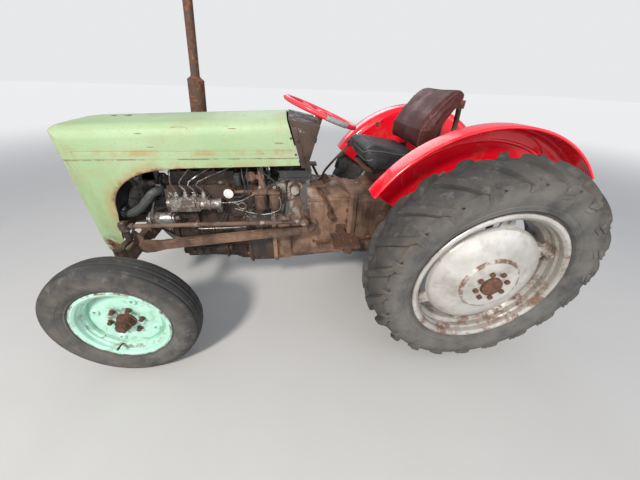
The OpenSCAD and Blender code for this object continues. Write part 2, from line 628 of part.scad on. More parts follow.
module radiator_hose() color("#303432") {
    swept(smooth([[radiator_x - 14, 168, 728], [radiator_x - 60, 170, 730], [radiator_x - 130, 172, 768],
        [engine_front + 56, 160, fan_z - 10],
        [pump_outlet_x, 128, fan_z], [pump_outlet_x, 99, fan_z]]), hose_d, 12);
    swept(smooth([[radiator_x - 14, -40, neck_z], [radiator_x - 60, -40, neck_z - 1],
        [radiator_x - 160, -40, 0.7 * neck_z + 0.3 * (head_z + 120)], [engine_front + 10, -40, head_z + 120],
        [engine_front - 16, -40, head_z + 76], [engine_front - 16, -40, head_z + 53.8]]),
        hose_d, 12, [0, 1, 0]);
}
module fuel_tank() color("#2E2C2A") {
    tank_rear = 960;
    tank_front = engine_front - 90;
    tank_low = head_z + 150;
    tank_top = bonnet_front_z - 35;
    tank_h = tank_top - tank_low;
    // Shell with rounded edges, and the seam round it
    difference() {
        cross_section(rounded(-185, tank_low, 185, tank_top, 0.28 * tank_h, 3), tank_rear, tank_front);
        cross_section(rounded(-175, tank_low + tank_h / 12, 175, tank_top - tank_h / 12, 0.22 * tank_h, 3),
            tank_rear + 10, tank_front - 10);
    }
    seam = tank_low + 0.45 * tank_h;
    difference() {
        cross_section(rounded(-192, seam, 192, seam + tank_h / 15, tank_h / 40, 1), tank_rear - 6, tank_front + 6);
        cross_section(rounded(-180, seam - 4, 180, seam + 16, 3, 1), tank_rear + 5, tank_front - 5);
    }
    translate([tank_rear + 90, 0, tank_top - 1]) cylinder(r = 32, h = 22);
    for (x = [engine_rear + 70, engine_front - 210])
        translate([x, -46, head_z + 105 + seat_gap]) cube([30, 82, 46 - seat_gap]);
}
module battery() color("#1E1E1E") {
    low = drop_z + shaft_housing_r + 4;
    rear = drop_x - 91;
    translate([rear, 100, low + 6]) cube([172, 104, 40]);
    translate([rear - 3, 97, low + 44]) cube([178, 110, 8]);
    for (x = [22, 150]) translate([rear + x, 118, low + 51]) cylinder(r = 8, h = 5);
    for (i = [0 : 5]) translate([rear + 32 + 22 * i, 172, low + 51]) cylinder(r = 8, h = 5);
    // Tray with its rim, and its foot on the shaft housing
    difference() {
        translate([rear - 8, 94, low]) cube([188, 116, 14]);
        translate([rear - 4, 98, low + 6]) cube([180, 108, 10]);
    }
    translate([drop_x - 14, 140, drop_z + shaft_housing_r + seat_gap]) cube([28, 30, 6]);
}
stack_y = -306;
stack_lean = 6;
module exhaust() color("#4A2E22") {
    port_pitch = (engine_front - 130 - engine_rear - 118) / 2;
    for (i = [0 : 2]) {
        x = engine_rear + 118 + port_pitch * i;
        across(x, head_z + 10, 24, -engine_w - 30, -engine_w + 30 - seat_gap);
        across(x, head_z + 10, 28, -engine_w + 20 - seat_gap, -engine_w + 30 - seat_gap);
    }
    // Manifold with rounded back, and the pipe up to the silencer
    cross_section(concat(arc(-engine_w - 44, head_z + 8, 30, 90, 270, 6), [[-engine_w - 20, head_z - 22],
        [-engine_w - 20, head_z + 38]]), engine_rear + 78, engine_front - 90);
    translate([stack_x - 40, -engine_w - 80, head_z - 26]) cube([80, 14, 68]);
    pipe(smooth([[stack_x, -engine_w - 45, head_z + 8], [stack_x, stack_y + 40, head_z],
        [stack_x, stack_y, head_z + 34],
        [stack_x, stack_y, head_z + 82]], 3), 50);
    translate([stack_x, stack_y, head_z + 76]) rotate([0, -stack_lean, 0]) {
        rotate_extrude() polygon([[0, 0], [27, 0], [30, 6], [47, 18], [48, 24], [47, 30], [47, 390],
            [48, 396], [47, 402],
            [30, 414], [27, 420], [0, 420]]);
        difference() {
            translate([0, 0, 415]) cylinder(r = 25, h = 450);
            translate([0, 0, 700]) cylinder(r = 21, h = 200);
        }
    }
}
stack_x = engine_front - 120;

// Transmission
module gearbox() color(casting) difference() {
    gearbox_case();
    across(drop_x, drop_z, shaft_housing_r + seat_gap, -drop_y + 33, drop_y - 33);
}
module gearbox_case() {
    half_w = engine_w - 6;
    intersection() {
        plate([[565, 400], [565, 800], [640, 848], [775, 848], [850, 876], [engine_rear, 880],
            [engine_rear, 360],
            [900, 345], [760, 370]], -half_w, half_w);
        cross_section([[-half_w + 40, 340], [half_w - 40, 340], [half_w, 400], [half_w, 790],
            [half_w - 24, 890],
            [-half_w + 24, 890], [-half_w, 790], [-half_w, 400]], 560, engine_rear + 1);
    }
    // Flange at the engine, with the bell behind it
    bell = [[-140, 340], [140, 340], [190, 400], [196, 600], [180, 700], [150, 760], [142, 879], [-142, 879],
        [-150, 760], [-180, 700], [-196, 600], [-190, 400]];
    cross_section(bell, engine_rear - 24, engine_rear);
    cross_section([[-130, 350], [130, 350], [166, 410], [170, 600], [144, 700], [-144, 700], [-170, 600],
        [-166, 410]],
        engine_rear - 110, engine_rear - 20);
    plate([[565, 390], [565, 812], [590, 812], [590, 390]], -168, 168);
    // Shelf along the top edge, ribs, the side cover and the top cover's rim
    both() {
        plate([[590, 778], [840, 778], [852, 790], [840, 798], [590, 798]], half_w - 2, half_w + 7);
        for (x = [742, 820]) plate([[x, 420], [x + 12, 420], [x + 12, 770], [x, 770]], half_w - 2,
            half_w + 4);
        plate(rounded(612, 462, 672, 548, 12), half_w - 2, half_w + 5);
        translate(radius_rear) difference() {
            translate([-32, -54, -32]) cube([64, 38, 64]);
            sphere(r = 30 + seat_gap);
        }
    }
    slab(rounded(646, -96, 772, 96, 16), 846, 848 + lever_seat);
    translate([880, 0, 336]) cylinder(r = 18, h = 22);
}
lever_seat = 6;
module rear_housing() color(casting) {
    case = 150;
    difference() {
        union() {
            intersection() {
                plate([[-190, 440], [-190, 800], [-60, 830], [565, 812], [565, 395], [200, 345],
                    [-100, 360]], -case, case);
                cross_section([[-case + 44, 340], [case - 44, 340], [case, 400], [case, 770],
                    [case - 26, 835],
                    [-case + 26, 835], [-case, 770], [-case, 400]], -200, 570);
            }
            // Flange at the gearbox, rear cover and the lift's cover on top
            plate([[541, 390], [541, 812], [565, 812], [565, 390]], -168, 168);
            cross_section(rounded(-136, 450, 136, 790, 30, 3), -202, -188);
            intersection() {
                plate([[-175, 815], [-175, 886], [-150, 904], [-80, 905], [120, 860], [480, 842],
                    [480, 805]], -130, 130);
                slab(rounded(-175, -130, 480, 130, 40, 4), 800, 910);
            }
            slab(rounded(-186, -140, 492, 140, 44, 4), 812, 826);
            both() across(rock_x, rock_z, rock_r + 18, 120, 156);
            both() for (x = [260, 420]) plate([[x, 410], [x + 14, 410], [x + 14, 760], [x, 760]], case - 2,
                case + 5);
        }
        across(rock_x, rock_z, rock_r + running, -200, 200);
        translate([-260, 0, 560]) rotate([0, 90, 0]) cylinder(r = 40, h = 90);
    }
    // Power shaft in its cap
    translate([-182, 0, 560]) rotate([0, 90, 0]) cylinder(r = 39.9, h = 20);
    translate([-280, 0, 560]) rotate([0, 90, 0]) cylinder(r = 17.5, h = 110);
    for (a = [0 : 60 : 300]) translate([-206, 60 * cos(a), 560 + 60 * sin(a)]) rotate([0, 90, 0])
        cylinder(r = 8, h = 8);
    // Top link bracket and the lower links' pins
    for (y = [-34, 16]) plate(concat([[-186, 700], [-186, 790]], arc(-235, 750, 20, 90, 270, 4)), y, y + 18);
    both() across(link_x, link_z, link_pin_r, case - 1, 262);
    both() plate([[link_x - 40, 420], [link_x + 40, 420], [link_x + 30, link_z - 30],
        [link_x - 30, link_z - 30]],
        case - 1, 200);
}
rock_r = 26;
link_pin_r = 12;
module axle_trumpets() color(casting) both() translate([0, 0, rear_z]) difference() {
    union() {
        wheel_turn([[150, 0], [150, 160], [170, 160], [174, 136], [196, 118], [300, 90], [420, 76], [548, 70],
            [552, 96], [560, 150], [590, 150], [594, 66], [606, 60], [606, 0]]);
        // Ribs from the inner flange, and the shelf that the fender stands on
        for (a = [30 : 60 : 330]) rotate([0, a, 0]) plate([[-5, 60], [5, 60], [5, 128], [-5, 128]], 169, 200);
        for (a = [0 : 60 : 300]) rotate([0, a + 15, 0]) translate([0, 0, 147]) across(0, 0, 9, 165, 178);
    }
    across(0, 0, axle_r + running, 460, 620);
}
module footrests() color(steel) both() {
    translate([610, engine_w - 6, 575]) cube([40, 264, 22]);
    // Tread plate with its rim and bars
    translate([560, 250, 597]) cube([150, 160, 6]);
    for (x = [560, 704]) translate([x, 250, 597]) cube([6, 160, 16]);
    translate([560, 404, 597]) cube([150, 6, 16]);
    for (i = [1 : 5]) translate([562 + 24 * i, 262, 602]) cube([8, 132, 5]);
    translate([600, engine_w - 6 + seat_gap, 560]) cube([60, 12, 52]);
}
module controls() color(steel) {
    top = 848 + lever_seat + seat_gap;
    translate([728, 0, top]) rotate_extrude() polygon([[0, 0], [40, 0], [40, 8], [30, 14], [22, 26],
        [16, 40], [0, 40]]);
    pipe(smooth([[728, 0, 868], [734, 0, 902], [690, 10, 966], [586, 30, 1086]], 3), 14);
    translate([584, 31, 1090]) sphere(r = 20);
    both() {
        pipe([[700, 178, 690], [720, 200, 760], [790, 200, 900]], 18);
        // Pedal pads with their raised bars
        translate([760, 160, 900]) cube([70, 80, 8]);
        for (i = [0 : 3]) translate([764 + 18 * i, 164, 907]) cube([8, 72, 4]);
        across(700, 690, 20, engine_w - 6 + seat_gap, 190);
        across(700, 690, 13, 186, 196);
    }
}
module steering_box() color(casting) {
    difference() {
        union() {
            intersection() {
                plate([[852, 881], [990, 881], [980, 930], [900, 960], [852, 950]], -90, 90);
                slab(rounded(852, -90, 990, 90, 26, 3), 880, 962);
            }
            slab(rounded(846, -98, 1000, 98, 20, 3), 881, 893);
            across(drop_x, drop_z, shaft_housing_r, -drop_y + 34, drop_y - 34);
            both() across(drop_x, drop_z, shaft_housing_r + 2, drop_y - 46, drop_y - 34);
        }
        translate([steer_hub_x, 0, steer_hub_z]) rotate([0, -column_tilt, 0]) translate([0, 0, -380])
            cylinder(r = 22, h = 380);
    }
    both() across(drop_x, drop_z, drop_shaft_r, drop_y - 40, drop_y + 24);
    both() across(drop_x, drop_z, 22, drop_y + 18 + seat_gap, drop_y + 30);
    translate([steer_hub_x, 0, steer_hub_z]) rotate([0, -column_tilt, 0]) difference() {
        translate([0, 0, -380]) cylinder(r = 22, h = 350);
        translate([0, 0, -340]) cylinder(r = column_r + running, h = 400);
    }
}
drop_shaft_r = 14;
shaft_housing_r = 40;
column_r = 11;
module dash_panel() color(casting) {
    difference() {
        union() {
            plate([[940, 1236], [785, 1205], [853, 985], [872, 1012]], -bonnet_half_w + 8, bonnet_half_w - 8);
            // Two round gauges and a switch on the side that faces the driver
            for (y = [-95, 95]) translate([820, y, 1108]) rotate([0, -107, 0]) cylinder(r = 44, h = 12);
            translate([812, 160, 1130]) rotate([0, -107, 0]) cylinder(r = 14, h = 16);
        }
        plate([[960, 1232], [795, 1199], [858, 1000], [900, 1000]], -bonnet_half_w + 12, bonnet_half_w - 12);
        translate([steer_hub_x, 0, steer_hub_z]) rotate([0, -column_tilt, 0]) translate([0, 0, -380])
            cylinder(r = 23, h = 400);
    }
    // Band that carries the bonnet's rear edge, shaped like the bonnet
    band = [[955 - band_gap, 1290], [925, 1290], [852, 1004], [882 - band_gap, 1002]];
    difference() {
        intersection() {
            bonnet_form(1.5);
            plate(band, -300, 300);
        }
        bonnet_form(9);
    }
    for (s = [-1, 1]) plate([[915, 1160], [915, 1178], [870, 1178], [870, 1160]],
        s > 0 ? bonnet_half_w - 13 : -bonnet_half_w + 7, s > 0 ? bonnet_half_w - 7 : -bonnet_half_w + 13);
    across(903, 1146, 9, bonnet_half_w - 3, bonnet_half_w + 9);
}
band_gap = 3;

// Fenders: inner panel and crown with a rolled lip
fender_front = 33;
fender_rear = 138;
module fenders() color(red) both() translate([0, 0, rear_z]) {
    corner = 44;
    roll = 7;
    lip = fender_out - roll;
    intersection() {
        wheel_turn(concat([[fender_in, 430]], arc(fender_in + corner, fender_r - corner, corner, 180, 90, 6),
            arc(lip, fender_r - roll, roll, 90, -110, 6), [[lip - 4, fender_r - 2 * roll + 2],
            [lip - 3, fender_r - sheet]],
            arc(fender_in + corner, fender_r - corner, corner - sheet, 90, 180, 6), [
            [fender_in + sheet, 430]]));
        plate([[0, 0], [1200, 1200 * tan(fender_front)], [1200, 1200], [-1200, 1200],
            [-1200, 1200 * tan(180 - fender_rear)]], 300, 700);
    }
    // Swage pressed into the inner panel, and the rolled edge at its front
    intersection() {
        wheel_turn([[fender_in + sheet - 1, fender_r - 92], [fender_in + sheet + 3, fender_r - 86],
            [fender_in + sheet + 3, fender_r - 78], [fender_in + sheet - 1, fender_r - 72]]);
        plate([[0, 0], [1200, 1200 * tan(fender_front + 4)], [1200, 1200], [-1200, 1200],
            [-1200, 1200 * tan(180 - fender_rear + 6)]], 300, 700);
    }
    rotate([0, -fender_front, 0]) translate([436, fender_in + 1, -5])
        cube([fender_r - corner - 446, sheet + 3, 10]);
    // Bracket down to the axle trumpet
    difference() {
        union() {
            translate([-60, fender_in - 8, 50]) cube([120, 8, 422]);
            for (x = [-60, 52]) translate([x, fender_in - 26, 50]) cube([8, 20, 380]);
        }
        wheel_turn([[300, 0], [300, 90 + seat_gap], [420, 76 + seat_gap], [420, 0]]);
    }
}

// Seat: the frame's pan, the cushion on it, and the back on its bracket
pan_z = 978 + seat_gap;
function back_edge(z) = 40 + (1364 - z) * 80 / 124 - 1.2 * seat_gap;
module seat_frame() color("#6A4A38") {
    translate([260, -50, 853.5]) cube([80, 100, 16]);
    translate([300, 0, 869]) rotate_extrude() polygon([[0, 0], [34, 0], [24, 14], [20, 24], [20, 86],
        [30, 98], [30, 100],
        [0, 100]]);
    // Pan with its pressed rim
    slab(rounded(230, -150, 520, 150, 40, 3), 968, 978);
    difference() {
        slab(rounded(236, -144, 514, 144, 36, 3), 956, 969);
        slab(rounded(242, -138, 508, 138, 32, 3), 955, 969);
    }
    for (y = [-78, 78]) {
        pipe(smooth([[240, y, 955], [60, y, 957], [12, y, 1000], [-4, y, 1160], [4, y, 1300]], 3), 28);
        translate([236, y - 18, 942]) cube([54, 36, 27]);
    }
    plate([[-17, 1285], [-17, 1325], [back_edge(1325), 1325], [back_edge(1285), 1285]], -92, 92);
}
module seat_cushion() color("#3A3A3C") intersection() {
    plate(concat([[214, pan_z], [200, 992], [200, 1048], [214, 1060], [330, 1077], [500, 1106]],
        arc(524, 1073, 34, 90, -40, 5), [[520, 1005], [480, pan_z]]), -seat_half_w, seat_half_w);
    slab(rounded(198, -seat_half_w, 562, seat_half_w, 60, 4), 970, 1130);
    cross_section(rounded(-seat_half_w, 940, seat_half_w, 1112, 46, 3), 190, 570);
}
module seat_back() color("#503A36") {
    half_w = seat_half_w - 10;
    intersection() {
        plate(concat([[212, 1082], [254, 1086]], arc(250, 1104, 16, -50, 0, 2), [[262, 1180], [215, 1260],
            [150, 1335],
            [104, 1374], [82, 1384], [58, 1384], [40, 1364], [120, 1240], [160, 1140]]), -half_w, half_w);
        // Rounded corners, as seen along the back's lean
        translate([262, 0, 1080]) rotate([0, -35, 0]) translate([-400, 0, 0]) rotate([90, 0, 90])
            linear_extrude(700) polygon(rounded(-half_w, -20, half_w, 364, 48, 4));
    }
}

// Steering pieces
function drop_ball() = [drop_x - drop_arm * sin(drop_lean), drop_z - drop_arm * cos(drop_lean)];
ball_pin_r = 8;
module drop_arm_piece() color(casting) {
    b = drop_ball();
    difference() {
        union() {
            across(drop_x, drop_z, 30, drop_y - 18, drop_y + 18);
            translate([drop_x, 0, drop_z]) rotate([0, drop_lean, 0])
                plate([[-20, 0], [20, 0], [12, -drop_arm * 0.6], [12, -drop_arm], [-12, -drop_arm],
                    [-12, -drop_arm * 0.6]],
                    drop_y - 9, drop_y + 9);
            across(b[0], b[1], 20, drop_y - 12, drop_y + 12);
            across(b[0], b[1], ball_pin_r, drop_y, drop_y + 56);
            across(b[0], b[1], 13, drop_y - 22, drop_y - 11);
        }
        across(drop_x, drop_z, drop_shaft_r + running, drop_y - 30, drop_y + 30);
    }
}
module drag_link() color(casting) {
    b = drop_ball();
    y0 = drop_y + 36;
    difference() {
        union() {
            across(b[0], b[1], 22, y0 - 16, y0 + 16);
            pipe([[b[0], y0, b[1]], [b[0] + 60, y0 + 2, b[1] + 2],
                [wheelbase - 60, kingpin_y - steer_arm, drag_front_z],
                [wheelbase, kingpin_y - steer_arm, drag_front_z]], 24);
            // Ball cup with its cap, lock nut and end
            translate([wheelbase, kingpin_y - steer_arm, drag_front_z - 24]) cylinder(r = 21, h = 46);
            translate([wheelbase, kingpin_y - steer_arm, drag_front_z - 12]) cylinder(r = 24, h = 24);
            translate([wheelbase, kingpin_y - steer_arm, drag_front_z + 21]) cylinder(r1 = 17, r2 = 12,
                h = 6);
            ahead(wheelbase - 48, kingpin_y - steer_arm, drag_front_z, 17, 14);
        }
        across(b[0], b[1], ball_pin_r + running, y0 - 30, y0 + 30);
    }
}
module steering_wheel() color(red) translate([steer_hub_x, 0, steer_hub_z]) rotate([0, -column_tilt, 0]) {
    rotate_extrude($fn = 64) translate([steer_wheel_r, 0]) circle(d = steer_rim_d, $fn = 20);
    for (a = [0 : 120 : 240]) rotate([0, 0, a + 60]) bar([0, 0, -12], [steer_wheel_r, 0, 0], 13);
    translate([0, 0, -28]) rotate_extrude() polygon([[0, 0], [24, 0], [30, 6], [34, 14], [34, 20],
        [26, 32], [16, 37],
        [0, 38]]);
    translate([0, 0, -330]) cylinder(r = column_r, h = 310);
}

// Bonnet
nose_x = wheelbase + 264;
bonnet_slope = atan((bonnet_rear_z - bonnet_front_z) / (nose_x - 966));
shoulder_r = 64;
nose_corner = 64;
// Rake of the nose's front face, from the tip up to the crown's curve
nose_foot_x = hinge_x + 46;
nose_foot_z = hinge_z + 20;
nose_curve_z = 1132;
nose_rake = atan((nose_x - 6 - nose_foot_x) / (nose_curve_z + 6 - nose_foot_z));
module bonnet_form(inset) {
    w = bonnet_half_w - inset;
    top = -inset;
    r = shoulder_r - inset;
    section = concat([[-w, -900], [-w, top - 12 - shoulder_r]], arc(-w + r, top - 12 - shoulder_r, r, 180,
        97),
        [[0, top]], arc(w - r, top - 12 - shoulder_r, r, 83, 0), [[w, -900]]);
    c = nose_corner - inset;
    plan = concat([[600, -w], [nose_x - inset - c, -w]], arc(nose_x - inset - c, -w + c, c, -90, 0),
        arc(nose_x - inset - c, w - c, c, 0, 90), [[600, w]]);
    intersection() {
        translate([955, 0, bonnet_rear_z]) rotate([90, 0, 90]) rotate([bonnet_slope, 0, 0])
            translate([0, 0, -300]) linear_extrude(nose_x - 440) polygon([for (p = section) [p[0], p[1]]]);
        linear_extrude(1500) polygon(plan);
    }
}
module bonnet_side(inset) plate(concat([[886, 1016], [955, 1262]], [[nose_x - 342, 1300]],
    arc(nose_x - 78, nose_curve_z, 72 - inset, 80, 5), [[nose_foot_x - inset, nose_foot_z]],
    arc(hinge_x + 4, hinge_z - 14, 36, 0, -180), [[hinge_x - 58, 577], [hinge_x - 99, 780]],
    [for (a = [10 : 16 : 90]) [hinge_x - 403 + 304 * cos(a), 780 + 215 * sin(a)]], [
    [hinge_x - 463, 1002]]), -400, 400);
module bonnet() color(green) difference() {
    intersection() {
        // The lower panels lie a little inside the upper one, below the seam
        union() {
            intersection() {
                bonnet_form(0);
                plate([[500, seam_rear_z], [nose_x + 50, seam_front_z], [nose_x + 50, 1500], [500, 1500]],
                    -400, 400);
            }
            bonnet_form(1.4);
        }
        bonnet_side(0);
    }
    intersection() {
        bonnet_form(sheet);
        union() {
            translate([0, -400, 0]) cube([hinge_x - 63, 800, 1500]);
            bonnet_side(sheet);
        }
    }
    // Swage above the seam
    both() plate([[900, seam_rear_z + 31], [nose_x - 90, seam_front_z + 31], [nose_x - 90, seam_front_z + 36],
        [900, seam_rear_z + 36]], bonnet_half_w - 1.2, bonnet_half_w + 10);
    // Opening for the grille
    translate([nose_x - 130, -grille_half_w, grille_low]) cube(
        [200, 2 * grille_half_w, grille_high - grille_low]);
    both() across(hinge_x, hinge_z, hinge_r + running, 200, 260);
}
seam_rear_z = 1056;
seam_front_z = 1047;
grille_half_w = 130;
grille_low = 610;
grille_high = 1070;
module grille() color("#B8B8B0") {
    translate([nose_foot_x - sheet - seat_gap, 0, nose_foot_z]) rotate([0, nose_rake, 0]) {
        z0 = grille_low - nose_foot_z;
        h = grille_high - grille_low;
        for (y = [-grille_half_w + 8 : 19 : grille_half_w - 6]) translate([-16, y - 2.5, z0 - 10])
            cube([12, 5, h + 20]);
        for (z = [z0 - 14, z0 + h / 2 - 7, z0 + h]) translate([-18, -grille_half_w - 8, z])
            cube([z == z0 + h / 2 - 7 ? 10 : 18,
            2 * grille_half_w + 16, 14]);
    }
}

// Hitch
arm_rest = 8;
link_rest = 4;
arm_end = [rock_x - lift_arm * cos(arm_rest), rock_z - lift_arm * sin(arm_rest)];
rod_end = [link_x - rod_at * cos(link_rest), link_z + rod_at * sin(link_rest)];
rod_top_y = 226;
rod_low_y = 300;
module lift_arms() color(casting) {
    across(rock_x, rock_z, rock_r, -190, 190);
    both() {
        across(rock_x, rock_z, 42, 160, 196);
        across(rock_x, rock_z, 18, 195, 202);
        translate([rock_x, 0, rock_z]) rotate([0, -arm_rest, 0])
            plate([[0, -34], [0, 34], [-lift_arm * 0.5, 22], [-lift_arm, 17], [-lift_arm, -17],
                [-lift_arm * 0.5, -22]],
                166, 190);
        across(arm_end[0], arm_end[1], 24, 164, 194);
        across(arm_end[0], arm_end[1], 10, 164, rod_top_y + 18);
        across(arm_end[0], arm_end[1], 16, rod_top_y + 15, rod_top_y + 20);
    }
}
module lift_rod() color(steel) difference() {
    top = [arm_end[0], rod_top_y, arm_end[1]];
    foot = [rod_end[0], rod_low_y, rod_end[1]];
    union() {
        across(arm_end[0], arm_end[1], 22, rod_top_y - 14, rod_top_y + 14);
        bar(top, foot, 22);
        // Threaded sleeve and its collars
        bar(top + (foot - top) * 0.22, top + (foot - top) * 0.62, 36);
        bar(top + (foot - top) * 0.2, top + (foot - top) * 0.25, 44);
        bar(top + (foot - top) * 0.58, top + (foot - top) * 0.63, 44);
        across(rod_end[0], rod_end[1], 22, rod_low_y - 12, rod_low_y + 12);
    }
    across(arm_end[0], arm_end[1], 10 + running, rod_top_y - 20, rod_top_y + 20);
    across(rod_end[0], rod_end[1], 10, rod_low_y - 20, rod_low_y + 20);
}
link_len = (hitch_reach + link_x - 24) / cos(link_rest);
link_front_y = 222;
link_back_y = 345;
module lower_link() color(casting) {
    tip = [link_x - link_len * cos(link_rest), link_back_y, link_z + link_len * sin(link_rest)];
    mid = [rod_end[0], link_front_y + 32, rod_end[1]];
    difference() {
        union() {
            across(link_x, link_z, 28, link_front_y - 14, link_front_y + 14);
            pipe([[link_x, link_front_y, link_z], mid, tip], 34);
            across(tip[0], tip[2], 24, link_back_y - 20, link_back_y + 20);
        }
        across(link_x, link_z, link_pin_r + running, link_front_y - 40, link_front_y + 40);
        across(tip[0], tip[2], link_hole_r, link_back_y - 40, link_back_y + 40);
    }
}

along() engine_block();
along() cylinder_head();
along() injection_pump();
along() fuel_filters();
along() dynamo_and_fan();
along() starter_motor();
along() radiator();
along() radiator_hose();
along() fuel_tank();
along() battery();
along() exhaust();
along() front_bolster();
along() front_axle();
along() gearbox();
along() rear_housing();
along() axle_trumpets();
along() footrests();
along() controls();
along() steering_box();
along() dash_panel();
along() fenders();
along() seat_frame();
along() seat_cushion();
along() seat_back();
along() knuckle();  // knuckle_left
along() side(-1) knuckle();  // knuckle_right
along() front_rim();  // front_rim_left
along() side(-1) front_rim();  // front_rim_right
along() front_tyre();  // front_tyre_left
along() side(-1) front_tyre();  // front_tyre_right
along() rear_wheel();  // rear_wheel_left
along() side(-1) rear_wheel();  // rear_wheel_right
along() rear_tyre();  // rear_tyre_left
along() side(-1) rear_tyre();  // rear_tyre_right
along() steering_wheel();
along() drop_arm_piece();  // drop_arm_left
along() side(-1) drop_arm_piece();  // drop_arm_right
along() drag_link();  // drag_link_left
along() side(-1) drag_link();  // drag_link_right
along() bonnet();
along() grille();
along() lift_arms();
along() lift_rod();  // lift_rod_left
along() side(-1) lift_rod();  // lift_rod_right
along() lower_link();  // lower_link_left
along() side(-1) lower_link();  // lower_link_right
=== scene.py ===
import json
import math
from functools import reduce
import bmesh
import bpy
import numpy as np
from mathutils import Matrix, Vector
from mathutils.bvhtree import BVHTree


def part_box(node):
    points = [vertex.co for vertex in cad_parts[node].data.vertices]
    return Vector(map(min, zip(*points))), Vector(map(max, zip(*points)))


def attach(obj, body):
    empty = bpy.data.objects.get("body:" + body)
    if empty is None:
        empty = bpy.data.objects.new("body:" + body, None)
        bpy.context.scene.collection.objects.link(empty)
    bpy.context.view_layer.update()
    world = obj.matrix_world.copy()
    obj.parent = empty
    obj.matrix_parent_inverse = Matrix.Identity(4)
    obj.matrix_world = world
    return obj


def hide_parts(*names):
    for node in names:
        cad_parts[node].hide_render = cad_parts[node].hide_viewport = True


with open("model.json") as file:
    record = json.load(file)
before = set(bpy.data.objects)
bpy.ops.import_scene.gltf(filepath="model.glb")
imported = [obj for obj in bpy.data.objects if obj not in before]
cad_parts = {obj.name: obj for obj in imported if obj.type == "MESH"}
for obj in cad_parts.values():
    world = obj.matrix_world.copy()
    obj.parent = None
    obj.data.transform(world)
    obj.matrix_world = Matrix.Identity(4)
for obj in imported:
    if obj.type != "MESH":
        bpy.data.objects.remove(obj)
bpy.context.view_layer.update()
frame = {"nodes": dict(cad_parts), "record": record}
mm = 0.001


# The corners of a node's box, and its middle, in metres
def span(node):
    low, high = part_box(node)
    return np.array(low), np.array(high)


def middle(node):
    return sum(span(node)) / 2


rearMid = middle("rear_tyre_left")
frontMid = middle("front_tyre_left")
rearX, frontX = rearMid[0], frontMid[0]
wheelbase = (frontX - rearX) / mm


# A place given in millimetres ahead of the rear axle, to the left and above the floor
def at(x, y, z):
    return np.array([rearX + x * mm, y * mm, z * mm])


# A material as a small chain of nodes: each method gives back an output that the next one takes
class Finish:
    def __init__(self, name):
        self.material = bpy.data.materials.new(name)
        self.material.use_nodes = True
        self.nodes = self.material.node_tree.nodes
        self.links = self.material.node_tree.links
        self.shader = self.nodes["Principled BSDF"]
        self.place = self.nodes.new("ShaderNodeTexCoord").outputs["Object"]

    def feed(self, value, socket):
        if isinstance(value, (int, float)):
            socket.default_value = value
        elif isinstance(value, tuple):
            socket.default_value = (*value, 1) if len(socket.default_value) == 4 else value
        else:
            self.links.new(value, socket)

    # A node of one kind: its inputs are fed by name
    def node(self, kind, **values):
        node = self.nodes.new("ShaderNode" + kind)
        for name, value in values.items():
            self.feed(value, node.inputs[name.replace("_", " ")])
        return node

    # Arithmetic on numbers, or on vectors
    def math(self, operation, *values, kind="Math", output="Value"):
        node = self.node(kind)
        node.operation = operation
        for value, socket in zip(values, node.inputs):
            self.feed(value, socket)
        return node.outputs[output]

    def vector(self, operation, *values, output="Vector"):
        return self.math(operation, *values, kind="VectorMath", output=output)

    def plus(self, a, b):
        return self.math("ADD", a, b)

    def less(self, a, b):
        return self.math("SUBTRACT", a, b)

    def length(self, a, b):
        return self.math("SQRT", self.plus(self.times(a, a), self.times(b, b)))

    # Masks run from zero to one: times gives where all of them are, either where any of them is
    def times(self, *values):
        return reduce(lambda a, b: self.math("MULTIPLY", a, b), values)

    def either(self, *values):
        return reduce(lambda a, b: self.math("MAXIMUM", a, b), values)

    def axis(self, name):
        return self.node("SeparateXYZ", Vector=self.place).outputs[name]

    # Distance from an axis along Y through a place in metres
    def fromAxle(self, x, z):
        return self.length(self.less(self.axis("X"), x), self.less(self.axis("Z"), z))

    def noise(self, scale, detail=6.0, rough=0.6, stretch=(1, 1, 1), shift=(0, 0, 0)):
        mapping = self.node("Mapping", Vector=self.place, Scale=stretch, Location=shift)
        tex = self.node("TexNoise", Vector=mapping.outputs[0], Scale=scale, Detail=detail, Roughness=rough)
        return tex.outputs["Fac"]

    def cells(self, scale, feature="F1"):
        tex = self.node("TexVoronoi", Vector=self.place, Scale=scale)
        tex.feature = feature
        return tex.outputs["Distance"]

    # A soft step between the two values: up to one if the second is the higher, else down to zero
    def step(self, value, low, high):
        rising = low < high
        node = self.node("MapRange", Value=value, From_Min=min(low, high), From_Max=max(low, high),
                         To_Min=0.0 if rising else 1.0, To_Max=1.0 if rising else 0.0)
        node.interpolation_type = "SMOOTHSTEP"
        return node.outputs[0]

    # One inside a band of values, zero outside it
    def band(self, value, low, high, soft):
        return self.times(self.step(value, low - soft, low), self.step(value, high + soft, high))

    # Patches where a noise of this scale lies above the two values
    def patch(self, low, high, scale, detail=7.0, rough=0.7, stretch=(1, 1, 1), shift=(0, 0, 0)):
        return self.step(self.noise(scale, detail, rough, stretch, shift), low, high)

    def mix(self, factor, a, b):
        node = self.node("Mix")
        node.data_type = "RGBA"
        for value, place in ((factor, 0), (a, 6), (b, 7)):
            self.feed(value, node.inputs[place])
        return node.outputs[2]

    # Another tone over the colour so far, where the mask is, and how strong at most
    def over(self, mask, colour, amount=1.0):
        self.colour = self.mix(self.times(mask, amount), self.colour, colour)

    # The finished chain: the colour so far, roughness and one relief
    def close(self, rough, relief=None, depth=0.5, metal=0.0, coat=0.0):
        for name, value in (("Base Color", self.colour), ("Roughness", rough), ("Metallic", metal),
                            ("Coat Weight", coat), ("Coat Roughness", 0.18)):
            self.feed(value, self.shader.inputs[name])
        if relief is not None:
            bump = self.node("Bump", Strength=depth, Distance=0.0015, Height=relief)
            self.links.new(bump.outputs[0], self.shader.inputs["Normal"])
        return self.material


